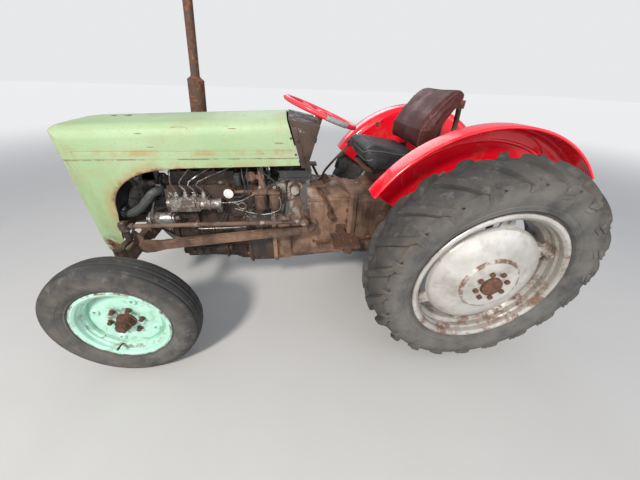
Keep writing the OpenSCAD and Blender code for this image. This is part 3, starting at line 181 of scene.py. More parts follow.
rust = {"dark": (0.075, 0.028, 0.014), "brown": (0.16, 0.062, 0.028), "orange": (0.36, 0.13, 0.04)}


# Rust in two tones from one noise
def rustTone(f, scale=30.0):
    grain = f.noise(scale, 8, 0.7)
    warm = f.mix(f.step(grain, 0.52, 0.72), rust["brown"], rust["orange"])
    return f.mix(f.step(grain, 0.38, 0.62), rust["dark"], warm)


bonnetPaint = {"colour": (0.268, 0.388, 0.203), "faded": (0.336, 0.438, 0.258), "dirt": (0.22, 0.25, 0.12),
               "haze": (0.34, 0.235, 0.10), "hinge": (1.963, 0.565)}
# Side opening: its ellipse's centre, its reach ahead and above, and its place across
opening = {"x": 1560, "z": 780, "long": 304, "high": 215, "y": 231.5}


# Pale green paint, faded in clouds, with rust along the seam, round the side opening and in chips
def greenPaint():
    f = Finish("greenPaint")
    cloud = f.noise(2.2, 5, 0.55)
    fine = f.noise(60, 4, 0.6)
    f.colour = f.mix(f.step(cloud, 0.35, 0.7), bonnetPaint["colour"], bonnetPaint["faded"])
    streak = f.noise(9, 6, 0.7, (1, 1, 0.16))
    f.over(f.step(streak, 0.52, 0.72), bonnetPaint["dirt"], 0.45)
    # Rust gathers in soft clouds at the swage line above the seam, and in a thin dark line at the seam
    z = f.axis("Z")
    seam = f.less(z, f.times(f.less(rearX + 1.237, f.axis("X")), 0.0117))
    line = f.times(f.band(seam, 1.0475, 1.0525, 0.002), f.patch(0.42, 0.60, 14, 6, 0.7), 0.6)
    swage = f.times(f.band(seam, 1.074, 1.088, 0.016), f.patch(0.42, 0.64, 9, 8, 0.74), 0.85)
    haze = f.times(f.patch(0.51, 0.74, 4.5, 8, 0.7, (1, 1, 2.2), (5, 1, 2)), 0.50)
    specks = f.times(f.patch(0.60, 0.66, 150, 3, 0.6), f.step(cloud, 0.38, 0.56), 0.75)
    f.over(f.either(swage, haze, specks), bonnetPaint["haze"])
    # Side opening: a quarter of an ellipse ahead and above, straight on below and behind
    ahead = f.math("MAXIMUM", f.less(f.axis("X"), rearX + opening["x"] * mm), 0.0)
    above = f.math("MAXIMUM", f.less(z, opening["z"] * mm), 0.0)
    edge = f.length(f.math("DIVIDE", ahead, opening["long"] * mm), f.math("DIVIDE", above, opening["high"] * mm))
    rim = f.times(f.step(edge, 1.085, 1.0), f.patch(0.42, 0.58, 20, 6, 0.72))
    rim = f.either(rim, f.times(f.step(edge, 1.022, 1.004), 0.75))
    stain = f.times(f.step(edge, 1.30, 1.02), f.patch(0.38, 0.62, 11, shift=(2, 2, 6)), 0.75)
    nose = f.times(f.step(f.axis("X"), rearX + 1.985, rearX + 2.030), f.patch(0.42, 0.64, 8), 0.8)
    f.over(f.either(stain, nose), bonnetPaint["haze"])
    # Tip of the nose round the hinge, chips and long scratches
    x, z = bonnetPaint["hinge"]
    tip = f.times(f.step(f.fromAxle(rearX + x, z), 0.075, 0.022), f.patch(0.36, 0.52, 26, 5, 0.7))
    chips = f.patch(0.655, 0.69, 17, 9, 0.74)
    scratch = f.times(f.patch(0.665, 0.69, 34, 3, 0.5, (0.12, 0.12, 1)), f.step(cloud, 0.5, 0.62))
    mask = f.either(line, rim, tip, chips, scratch)
    f.over(mask, rustTone(f, 40.0))
    # Painted shade inside the bonnet: where the face looks back at the bonnet's middle, the sheet is made near black
    fromMiddle = f.vector("SUBTRACT", f.place, (rearX + 1.45, 0.0, 0.93))
    outward = f.vector("DOT_PRODUCT", fromMiddle, f.nodes["Texture Coordinate"].outputs["Normal"], output="Value")
    f.over(f.step(outward, 0.002, -0.002), (0.020, 0.024, 0.017))
    return f.close(f.plus(0.42, f.times(f.either(mask, fine), 0.30)), f.plus(fine, f.times(mask, -1.5)), 0.16)


fenderPaint = {"colour": (0.88, 0.005, 0.020), "deep": (0.74, 0.004, 0.015), "dust": (0.40, 0.10, 0.07)}


# Glossy red paint with orange peel, dust on the low parts and dark chips
def redPaint():
    f = Finish("redPaint")
    cloud = f.noise(3, 4, 0.5)
    f.colour = f.mix(f.step(cloud, 0.3, 0.7), fenderPaint["deep"], fenderPaint["colour"])
    dust = f.times(f.patch(0.50, 0.74, 7), 0.38)
    f.over(dust, fenderPaint["dust"])
    chips = f.patch(0.672, 0.70, 24, 8, 0.72)
    f.over(chips, (0.055, 0.020, 0.018))
    rough = f.plus(0.20, f.times(f.either(f.times(dust, 1.6), chips), 0.45))
    return f.close(rough, f.noise(140, 2, 0.4), 0.05, 0.0, 0.35)


# Nuts and cap of a wheel: what is near the axle and stands proud of the disc's face
def hubMask(f, away, face):
    return f.times(f.step(away, 0.104, 0.098), f.step(f.math("ABSOLUTE", f.axis("Y")), face, face + 0.0015))


frontPaint = {"colour": (0.36, 0.61, 0.49), "pale": (0.45, 0.68, 0.58), "face": 0.610}


# Mint paint on the front rims, rusty at the hub and greasy round it
def mintPaint():
    f = Finish("mintPaint")
    away = f.fromAxle(frontX, frontMid[2])
    cloud = f.noise(9, 6, 0.6)
    f.colour = f.mix(f.step(cloud, 0.35, 0.68), frontPaint["colour"], frontPaint["pale"])
    f.over(f.patch(0.50, 0.70, 13), (0.20, 0.22, 0.15), 0.55)
    # The nuts and the cap are rusty, and the disc is greasy round them
    hub = hubMask(f, away, frontPaint["face"])
    grease = f.times(f.step(away, 0.105, 0.070), f.patch(0.42, 0.62, 26, 5, 0.7))
    f.over(grease, (0.075, 0.050, 0.036), 0.75)
    rings = f.times(f.band(away, 0.184, 0.196, 0.004), f.patch(0.46, 0.60, 15, 6, 0.7))
    lip = f.times(f.step(away, 0.213, 0.219), f.patch(0.44, 0.62, 20, 6, 0.7))
    chips = f.patch(0.64, 0.67, 30, 8, 0.72)
    mask = f.either(hub, f.times(rings, 0.7), lip, chips)
    f.over(mask, rustTone(f, 60.0))
    f.over(hub, (0.060, 0.034, 0.024), 0.60)
    return f.close(f.plus(0.34, f.times(mask, 0.45)), f.noise(70, 4, 0.6), 0.14)


rearPaint = {"colour": (0.43, 0.415, 0.385), "pale": (0.56, 0.54, 0.505), "grime": (0.20, 0.155, 0.115),
             "face": 0.744}


# Silver paint on the rear wheels, rusty at the hub's ring, on the lugs and in the rim's channel
def silverPaint():
    f = Finish("silverPaint")
    away = f.fromAxle(rearX, rearMid[2])
    cloud = f.noise(5, 6, 0.6)
    f.colour = f.mix(f.step(cloud, 0.36, 0.66), rearPaint["colour"], rearPaint["pale"])
    low = f.step(f.plus(f.axis("Z"), f.times(f.axis("X"), 0.6)), 0.42, 0.10)
    f.over(f.patch(0.46, 0.72, 8), rearPaint["grime"], 0.5)
    ring = f.times(f.band(away, 0.135, 0.146, 0.006), f.patch(0.40, 0.60, 16, 6, 0.7), 0.9)
    seat = f.times(f.step(away, 0.100, 0.060), f.patch(0.46, 0.66, 28, 5, 0.7), 0.6)
    hub = f.either(hubMask(f, away, rearPaint["face"]), seat)
    # The channel of the rim: more rust towards the ground and the back
    amount = f.less(0.64, f.times(low, 0.16))
    flakes = f.step(f.less(f.noise(12, 8, 0.72), amount), -0.02, 0.12)
    rim = f.times(f.step(away, 0.283, 0.297), flakes, 0.82)
    shade = f.times(f.step(away, 0.284, 0.300), f.step(away, 0.366, 0.352))
    f.over(shade, (0.24, 0.215, 0.17), 0.45)
    lip = f.times(f.step(away, 0.372, 0.380), f.patch(0.50, 0.62, 26, 5, 0.7))
    disc = f.times(f.patch(0.64, 0.70, 11, 8, 0.72), 0.7)
    mask = f.either(ring, hub, rim, lip, disc)
    f.over(mask, rustTone(f, 45.0))
    f.over(hub, (0.075, 0.042, 0.029), 0.45)
    relief = f.plus(f.noise(80, 4, 0.6), f.times(mask, 0.8))
    return f.close(f.plus(0.34, f.times(mask, 0.45)), relief, 0.18, f.less(0.30, f.times(mask, 0.30)))


castings = {"oily": (0.070, 0.040, 0.027), "brown": (0.200, 0.115, 0.074), "grey": (0.34, 0.31, 0.27)}


# Cast iron: brown old paint, oily below and at the engine, with pale grey flakes; dark scales its tones, and the
# engine's copy is made darker partly as painted shade
def castIron(name, flakes=0.60, oil=0.5, dark=1.0, pale=None):
    f = Finish(name)
    oily, brown = (tuple(c * dark for c in castings[k]) for k in ("oily", "brown"))
    cloud = f.noise(6, 8, 0.66)
    f.colour = f.mix(f.step(cloud, 0.36, 0.62), oily, brown)
    spots = f.patch(flakes, flakes + 0.06, 13, 9, 0.74, shift=(4, 2, 7))
    if pale:
        # Old grey paint is left round one place of the side
        near = f.step(f.fromAxle(rearX + pale[0], pale[1]), pale[2], pale[2] * 0.35)
        left = f.step(f.plus(f.noise(11, 9, 0.76, shift=(2, 8, 3)), f.times(near, 0.14)), 0.59, 0.65)
        spots = f.either(spots, f.times(left, near))
    f.over(spots, castings["grey"], 0.85)
    tan = f.times(f.patch(0.52, 0.70, 4, 8, 0.7, shift=(9, 5, 1)), 0.55)
    f.over(tan, (0.235 * dark, 0.150 * dark, 0.095 * dark))
    run = f.times(f.patch(0.46, 0.62, 10, 6, 0.68, (1, 1, 0.22), (1, 8, 3)), oil)
    f.over(run, (0.022, 0.016, 0.013))
    relief = f.plus(f.noise(160, 4, 0.7), f.times(spots, -0.8))
    return f.close(f.less(0.78, f.times(run, 0.75)), relief, 0.45)


# One tone, darker and lighter by a mask
def grained(f, mask, colour, darker, lighter):
    f.colour = f.mix(mask, tuple(c * darker for c in colour), tuple(min(1, c * lighter) for c in colour))


# Bare or plated metal with oil and rust on it; grime is how much of it is covered
def bareMetal(name, colour, grime=0.5, tone=(0.06, 0.035, 0.022), metal=0.85, rough=0.34):
    f = Finish(name)
    grain = f.noise(90, 4, 0.65)
    grained(f, f.step(grain, 0.3, 0.7), colour, 0.8, 1.15)
    dirt = f.patch(1 - grime - 0.08, 1 - grime + 0.08, 24, 8)
    f.over(dirt, tone, 0.9)
    return f.close(f.plus(rough, f.times(dirt, 0.38)), grain, 0.2, f.less(metal, f.times(dirt, metal * 0.9)))


# Rusted steel: dark and orange tones with pits
def rustySteel(name, amount=0.5, under=(0.07, 0.045, 0.035)):
    f = Finish(name)
    patches = f.patch(1 - amount - 0.12, 1 - amount + 0.12, 15, 8, 0.7)
    f.colour = f.mix(patches, under, rustTone(f, 55.0))
    return f.close(0.82, f.noise(120, 6, 0.75), 0.5)


tyreLook = {"rubber": (0.042, 0.041, 0.041), "dust": (0.092, 0.089, 0.084), "mud": (0.100, 0.088, 0.074),
            "wall": (0.170, 0.160, 0.142)}


# Weathered rubber: dusty grey all over, browner between the lugs, with fine cracks
def oldRubber(name, x, z, tread, amount=0.62):
    f = Finish(name)
    away = f.fromAxle(x, z)
    dusty = f.patch(0.62 - amount * 0.45, 0.92 - amount * 0.35, 5, 8, 0.62)
    f.colour = f.mix(dusty, tyreLook["rubber"], tyreLook["dust"])
    between = f.times(f.step(away, tread - 0.004, tread - 0.020), f.step(away, tread - 0.150, tread - 0.06))
    f.over(f.times(between, f.patch(0.36, 0.62, 13)), tyreLook["mud"])
    # The wall is paler than the tread, most of all towards its foot
    wall = f.times(f.step(away, tread - 0.075, tread - 0.125), f.patch(0.30, 0.66, 6, 7, 0.66, shift=(7, 1, 4)))
    f.over(f.times(wall, amount), tyreLook["wall"])
    f.over(f.step(away, tread - 0.072, tread - 0.030), (0.026, 0.025, 0.024), 0.55)
    smear = f.times(f.patch(0.54, 0.66, 20, 6, 0.7, shift=(3, 3, 3)), 0.4)
    f.over(smear, (0.145, 0.138, 0.126))
    cracks = f.step(f.cells(95, "DISTANCE_TO_EDGE"), 0.10, 0.0)
    relief = f.plus(f.noise(110, 6, 0.7), f.times(cracks, -0.4))
    return f.close(f.less(0.90, f.times(smear, 0.1)), relief, 0.28)


# Leathercloth: fine grain from cells, shine where it is rubbed
def leathercloth(name, colour, rubbed, grain=230.0):
    f = Finish(name)
    wear = f.patch(0.44, 0.68, 8, 6, 0.62)
    f.colour = f.mix(wear, colour, rubbed)
    dust = f.times(f.patch(0.58, 0.76, 15, shift=(2, 6, 4)), 0.3)
    f.over(dust, (0.10, 0.088, 0.078))
    relief = f.plus(f.cells(grain), f.noise(30, 4, 0.6))
    f.shader.inputs["Specular IOR Level"].default_value = 0.28
    return f.close(f.less(0.62, f.times(wear, 0.16)), relief, 0.22)


# Plastic or rubber in one tone, dusty in patches
def dullPlastic(name, colour, dust=(0.12, 0.10, 0.085), rough=0.5, amount=0.45):
    f = Finish(name)
    mask = f.times(f.patch(1 - amount - 0.05, 1 - amount + 0.12, 18), 0.7)
    grained(f, f.patch(0.3, 0.7, 70, 3, 0.6), colour, 0.85, 1.12)
    f.over(mask, dust)
    return f.close(f.plus(rough, f.times(mask, 0.3)), f.noise(90, 4, 0.6), 0.14)


materials = {
    "bonnet_green": greenPaint(),
    "fender_red": redPaint(),
    "front_rim_mint": mintPaint(),
    "rear_wheel_silver": silverPaint(),
    "engine_brown": castIron("castIron"),
    "engine_steel": bareMetal("pumpMetal", (0.52, 0.50, 0.47), 0.55),
    "black_parts": dullPlastic("blackPaint", (0.022, 0.022, 0.022)),
    "hose_rubber": dullPlastic("hoseRubber", (0.048, 0.053, 0.050), (0.13, 0.125, 0.11), 0.55),
    "tyre_rubber": oldRubber("rearRubber", rearX, rearMid[2], rearMid[2]),
    "rusty_steel": rustySteel("rustySteel"),
    "seat_black": leathercloth("seatBlack", (0.017, 0.017, 0.019), (0.036, 0.036, 0.038)),
    "seat_brown": leathercloth("seatBrown", (0.058, 0.013, 0.011), (0.088, 0.024, 0.020)),
    "wheel_red": dullPlastic("wheelRed", (0.66, 0.040, 0.055), (0.20, 0.05, 0.05), 0.32, 0.40),
    "grille_grey": castIron("grillePaint", 0.50, 0.2),
}
extra = {
    "frontRubber": oldRubber("frontRubber", frontX, frontMid[2], frontMid[2], 0.50),
    "brightMetal": bareMetal("brightMetal", (0.66, 0.64, 0.60), 0.22, rough=0.24),
    # The engine's castings: dark with oil, and darker still as painted shade round the engine
    "engineOilAndShade": castIron("engineOilAndShade", 0.60, 0.9, 0.32),
    "gearPaint": castIron("gearPaint", 0.60, 0.35, 1.30, (0.985, 0.860, 0.33)),
    "dashPaint": castIron("dashPaint", 0.62, 0.5, 0.32),
    "boltRust": rustySteel("boltRust", 0.62),
    "arms": castIron("armPaint", 0.55, 0.85, 0.72),
    "pipe": bareMetal("steelPipe", (0.36, 0.34, 0.31), 0.45, rough=0.4),
    "tape": dullPlastic("greyTape", (0.26, 0.27, 0.27), (0.16, 0.13, 0.11), 0.6),
    "greyWelt": leathercloth("greyWelt", (0.070, 0.070, 0.070), (0.13, 0.13, 0.128)),
    "brownWelt": leathercloth("brownWelt", (0.105, 0.045, 0.038), (0.19, 0.10, 0.09)),
}
slotOf = {part["node"]: part["material_slot"] for part in frame["record"]["subparts"]}
for name, obj in frame["nodes"].items():
    obj.data.materials.clear()
    obj.data.materials.append(materials[slotOf[name]])
print("materials done")


# Points and faces in millimetres from the rear axle, put together and then made into one mesh
class Shape:
    def __init__(self):
        self.points, self.faces, self.count = [], [], 0

    def add(self, points, faces):
        points = np.asarray(points, float).reshape(-1, 3)
        self.points.append(points)
        self.faces += [[i + self.count for i in face] for face in faces]
        self.count += len(points)
        return self

    def join(self, other, turn=None, shift=(0, 0, 0)):
        points = np.concatenate(other.points)
        if turn is not None:
            points = points @ np.asarray(turn).T
        return self.add(points + np.asarray(shift, float), other.faces)

    # End faces on the first and the last ring of so many points
    def closed(self, ring):
        self.faces += [list(range(ring))[::-1], [self.count - ring + i for i in range(ring)]]
        return self

    def mirrored(self):
        return Shape().add(np.concatenate(self.points) * (1, -1, 1), [face[::-1] for face in self.faces])


# The matrix of a turn about x, y or z
def turned(axis, degrees):
    return np.array(Matrix.Rotation(math.radians(degrees), 3, axis.upper()))


# A net of quads over rows of points; around closes each row, along joins the last row to the first
def grid(points, around=False, along=False):
    points = np.asarray(points, float)
    rows, columns = points.shape[:2]
    i, j = np.meshgrid(np.arange(rows - (not along)), np.arange(columns - (not around)), indexing="ij")
    below, beside = (i + 1) % rows, (j + 1) % columns
    faces = np.stack([i * columns + j, i * columns + beside, below * columns + beside, below * columns + j], -1)
    return Shape().add(points, faces.reshape(-1, 4).tolist())


# Angles round a circle, one at each step of so many degrees
def circle(step):
    return np.radians(np.arange(0, 360, step))


# A solid about the Y axis: each point (place along Y, radius) is carried round a circle
def revolve(profile, steps=96):
    along, radius = np.asarray(profile, float).T[:, None]
    turn = (np.arange(steps) * 2 * math.pi / steps)[:, None]
    rows = np.stack([radius * np.sin(turn), along + 0 * turn, radius * np.cos(turn)], -1)
    return grid(rows, around=True, along=True)


# A smooth line: between two points a cubic that takes its slopes from their neighbours
def curve(points, steps=6):
    p = np.asarray(points, float)
    ends = np.concatenate([p[:1], p, p[-1:]])
    a, b, c, d = (ends[k:len(p) - 1 + k, None] for k in range(4))
    t = (np.arange(steps) / steps)[None, :, None]
    inner = b + (c - a) * t / 2 + (2 * a - 5 * b + 4 * c - d) * t ** 2 / 2 + (3 * b - a - 3 * c + d) * t ** 3 / 2
    return np.concatenate([inner.reshape(-1, p.shape[1]), p[-1:]])


# A round bar along a route: rings square to it, closed at both ends or into a loop
def tube(route, radius, sides=12, up=(0.13, 1, 0.21), loop=False):
    route = np.asarray(route, float)
    radius = np.broadcast_to(radius, len(route))
    along = (np.roll(route, -1, 0) - np.roll(route, 1, 0)) if loop else np.gradient(route, axis=0)
    along /= np.linalg.norm(along, axis=1)[:, None]
    u = np.cross(along, up)
    u /= np.linalg.norm(u, axis=1)[:, None]
    v = np.cross(along, u)
    turn = (np.arange(sides) * 2 * math.pi / sides)[None, :, None]
    rings = route[:, None] + radius[:, None, None] * (np.cos(turn) * u[:, None] + np.sin(turn) * v[:, None])
    shape = grid(rings, around=True, along=loop)
    return shape if loop else shape.closed(sides)


# A straight round bar with slightly broken edges
def rod(start, end, radius, sides=16, edge=0.12):
    start, end = np.asarray(start, float), np.asarray(end, float)
    length = np.linalg.norm(end - start)
    c = min(radius * edge, length / 4) / length
    along = (end - start) / length
    up = (0, 0, 1) if abs(along[2]) < 0.9 else (1, 0, 0)
    places = np.array([0, c, 1 - c, 1])[:, None]
    return tube(start + (end - start) * places, radius * np.array([1 - edge, 1, 1, 1 - edge]), sides, up)


# A box with broken edges: four rings of eight points
def block(low, high, edge=1.5):
    (x0, y0, z0), (x1, y1, z1) = low, high
    rings = []
    for z, i in ((z0, edge), (z0 + edge, 0), (z1 - edge, 0), (z1, edge)):
        a, b, c, d, e = x0 + i, x1 - i, y0 + i, y1 - i, edge
        rings.append([(a + e, c, z), (b - e, c, z), (b, c + e, z), (b, d - e, z), (b - e, d, z), (a + e, d, z),
                      (a, d - e, z), (a, c + e, z)])
    return grid(rings, around=True).closed(8)


# A hexagon head that stands on a surface, with a washer under it
def bolt(place, axis, across=19, height=9, washer=True):
    place, axis = np.asarray(place, float), np.asarray(axis, float)
    axis = axis / np.linalg.norm(axis)
    shape = Shape()
    if washer:
        shape.join(rod(place - axis * 2, place + axis * 2, across * 0.72, 20))
    r = across / 1.732
    up = (0, 0, 1) if abs(axis[2]) < 0.9 else (1, 0, 0)
    base = place + axis * (2 if washer else -1)
    return shape.join(tube([base, base + axis * height * 0.82, base + axis * height], [r, r, r * 0.86], 6, up))


# An object in the scene, for a mesh, a lamp or a camera
def added(name, data):
    obj = bpy.data.objects.new(name, data)
    bpy.context.collection.objects.link(obj)
    return obj


# One mesh from a shape, with its finish, its body and the nodes it stands for
def make(name, shape, slot, body, replaces=(), angle=35, material=None):
    mesh = bpy.data.meshes.new(name)
    mesh.from_pydata((np.concatenate(shape.points) * mm + (rearX, 0, 0)).tolist(), [], shape.faces)
    mesh.validate()
    return placed(name, mesh, slot, body, replaces, angle, material)


def placed(name, mesh, slot, body, replaces=(), angle=35, material=None):
    mesh.shade_smooth()
    mesh.set_sharp_from_angle(angle=math.radians(angle))
    mesh.materials.clear()
    mesh.materials.append(material or materials[slot])
    obj = added(name, mesh)
    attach(obj, body)
    if replaces:
        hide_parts(*replaces)
    return obj


sides = (("left", 1), ("right", -1))


# A shape made for the left side, or its mirror image for the right
def handed(shape, side):
    return shape if side > 0 else shape.mirrored()


# A copy of a CAD node's mesh with its points joined, and its flat faces too if asked for
def joinedMesh(node, flat=False):
    mesh = frame["nodes"][node].data.copy()
    work = bmesh.new()
    work.from_mesh(mesh)
    bmesh.ops.remove_doubles(work, verts=work.verts, dist=0.00002)
    if flat:
        bmesh.ops.dissolve_limit(work, angle_limit=math.radians(0.4), verts=work.verts, edges=work.edges)
    work.to_mesh(mesh)
    work.free()
    return mesh


# A CAD node with broken edges: the shape stays, and its corners catch the light
def refined(node, width=1.2, material=None, angle=30):
    mesh = joinedMesh(node, flat=True)
    obj = placed(node + "_surface", mesh, slotOf[node], bodyOf[node], [node], angle, material)
    bevel = obj.modifiers.new("edges", "BEVEL")
    bevel.width = width * mm
    bevel.segments = 2
    bevel.limit_method = "ANGLE"
    bevel.angle_limit = math.radians(angle)
    bevel.harden_normals = True


bodyOf = {node: body for body, row in frame["record"]["behaviour"]["bodies"].items() for node in row}
castEdges = {"engine_block": 2.4, "cylinder_head": 2.0, "gearbox": 3.0, "rear_housing": 3.0, "axle_trumpets": 2.0,
             "front_bolster": 2.0, "front_axle": 1.6, "steering_box": 1.6, "injection_pump": 1.0, "fuel_filters": 1.0,
             "dynamo_and_fan": 0.9, "starter_motor": 1.0, "radiator": 1.0, "fuel_tank": 1.0, "battery": 1.2,
             "exhaust": 0.8, "footrests": 1.0, "controls": 0.8, "dash_panel": 0.9, "fenders": 0.9, "seat_frame": 1.0,
             "bonnet": 1.1, "grille": 0.8, "steering_wheel": 0.8, "lift_arms": 1.4}
paintOf = {"engine_block": "engineOilAndShade", "cylinder_head": "engineOilAndShade", "front_bolster": "engineOilAndShade",
           "starter_motor": "engineOilAndShade", "gearbox": "gearPaint", "steering_box": "gearPaint",
           "dash_panel": "dashPaint"}
for node, width in castEdges.items():
    refined(node, width, extra.get(paintOf.get(node)))
for hand, side in sides:
    refined(f"rear_wheel_{hand}", 0.9)
    refined(f"front_rim_{hand}", 0.8)
    for node in ("knuckle", "drop_arm", "drag_link", "lift_rod", "lower_link"):
        refined(f"{node}_{hand}", 1.2, extra["arms"])
print("CAD surfaces done")


# Tyres: half of a section as (place along the axle from the tyre's middle, radius), made smooth and mirrored
def whole(half):
    half = np.asarray(half, float)
    return np.concatenate([half, (half * (-1, 1))[::-1]])


# Outer radius and half the width of a tyre, from its CAD node
def tyreSize(node):
    low, high = span(node)
    return {"radius": (high[2] - low[2]) / 2 / mm, "halfWidth": (high[1] - low[1]) / 2 / mm}


rearTyreForm = {**tyreSize("rear_tyre_left"), "crown": 216, "edge": 39, "lugHeight": 26, "sweep": 12, "lugs": 20}
frontTyreForm = tyreSize("front_tyre_left")
rearAt = np.array([0, rearMid[1] / mm, rearTyreForm["radius"]])
frontAt = np.array([wheelbase, frontMid[1] / mm, frontTyreForm["radius"]])


# A point of the tread: an angle from the middle about the crown's centre, a depth under the lugs, the wheel's turn
def treadPoint(edge, depth, turn):
    crown = rearTyreForm["crown"]
    edge, turn = np.radians(edge), np.radians(turn)
    radius = rearTyreForm["radius"] - crown + (crown - depth) * np.cos(edge)
    return np.stack([radius * np.sin(turn), (crown - depth) * np.sin(edge) + 0 * turn, radius * np.cos(turn)], -1)


# A lug: rings of eight corners from the tread's middle to its edge and down the wall
def lug():
    form = rearTyreForm
    step = np.linspace(0, 1, 13)[:, None]
    edge = 1.5 + (form["edge"] + 6.5) * step
    lean = -form["sweep"] * np.minimum(edge / form["edge"], 1) - 0.6 * np.maximum(0, edge - form["edge"])
    down = form["lugHeight"] * np.maximum(0, (edge - form["edge"] + 1) / 8) ** 1.5
    wide, root = (np.degrees((w + 9 * step) / form["radius"]) for w in (19, 26))
    deep, half = form["lugHeight"] + 5 + 0 * step, form["lugHeight"] * 0.55 + 0 * step
    depth = np.concatenate([deep, half, 3 + down, 0.6 + down, 0.6 + down, 3 + down, half, deep], 1)
    turn = np.concatenate([-root, -wide - 0.5, -wide, -wide + 0.45, wide - 0.45, wide, wide + 0.5, root], 1)
    return grid(treadPoint(edge + 0 * turn, depth, lean + turn), around=True).closed(8)


# Rear tyre: an arc for the crown and a smooth line for the wall, turned about the axle, with twenty lugs a side
def rearTyre():
    form, w = rearTyreForm, rearTyreForm["halfWidth"]
    a = np.radians(np.linspace(0, form["edge"], 9))
    low = form["crown"] - form["lugHeight"]
    crown = np.stack([low * np.sin(a), form["radius"] - form["crown"] + low * np.cos(a)], -1)
    # Wall with a low step under the tread, a bulge, two fine rings and the bead
    wall = curve([(w - 10, 518), (w - 4, 500), (w - 0.5, 474), (w - 2, 448), (w - 8, 424), (w - 10, 420),
                  (w - 8, 416), (w - 13, 402), (w - 15, 399), (w - 14, 395), (118, 388), (113, 383), (112, 362)], 3)
    shape = revolve(whole(np.concatenate([crown, wall])), 160)
    one = lug()
    # Raised buttress where each lug runs down the wall, in two steps
    for k, (top, foot, thick) in enumerate(((528, 466, 6.0), (520, 486, 10.0))):
        route = curve([(0, w - 22, top), (0, w - 6, (top + foot) / 2 + 6), (0, w - 2.5 - k, foot)], 4)
        for offset in (-18, -9, 0, 9, 18):
            one.join(tube(route, thick, 6, (1, 0, 0)), turned("y", -form["sweep"] - 3.6), (offset, 0, 0))
    for i in range(form["lugs"]):
        shape.join(one, turned("y", 360 / form["lugs"] * i))
        shape.join(one.mirrored(), turned("y", 360 / form["lugs"] * (i + 0.5)))
    return shape


# Front tyre: half its section as a smooth line, mirrored and turned about the axle
def frontTyre():
    r, w = frontTyreForm["radius"], frontTyreForm["halfWidth"]
    # Three ribs, with a groove each side of the middle one, then a rounded shoulder, the wall and the bead
    half = curve([(0, r), (5, r), (6.5, r - 2), (8, r - 9), (11, r - 11), (14, r - 9), (16, r - 3), (18, r - 1.5),
                  (38, r - 4), (40, r - 6), (43, r - 13), (47, r - 14.5), (51, r - 12), (53, r - 8.5), (62, r - 14),
                  (72, r - 27), (80, r - 44), (w, r - 62), (w - 1, r - 82), (w - 4, r - 92), (w - 5.5, r - 93),
                  (w - 6.5, r - 97), (w - 14, r - 108), (w - 20, r - 114), (62, 233), (54, 229), (53, 212)], 3)
    return revolve(whole(half), 128)


# A shape made about a left wheel's middle, put on the wheel of one side
def onWheel(shape, place, side):
    return Shape().join(handed(shape, side), shift=place * (1, side, 1))


for hand, side in sides:
    make(f"rearTyre_{hand}", onWheel(rearTyre(), rearAt, side), "tyre_rubber", f"rear_wheel_{hand}",
         [f"rear_tyre_{hand}"], 30)
    make(f"frontTyre_{hand}", onWheel(frontTyre(), frontAt, side), "tyre_rubber", f"front_wheel_{hand}",
         [f"front_tyre_{hand}"], 30, extra["frontRubber"])
print("tyres done")


# The places of a mesh's points as one array, and their outward directions
def pointsOf(mesh, normals=False):
    out = np.empty(len(mesh.vertices) * 3, dtype=np.float32)
    (mesh.vertex_normals if normals else mesh.vertices).foreach_get("vector" if normals else "co", out)
    return out.reshape(-1, 3).astype(float)


# A seam in metres: the groove's width, the pitch, place and width of the puckers beside it, and the welt's radius
stitch = {"groove": 0.009, "pitch": 0.024, "beside": 0.014, "soft": 0.012, "welt": 0.003, "lift": 0.0006}


def setPoints(mesh, points):
    mesh.vertices.foreach_set("co", points.ravel())
    mesh.update()


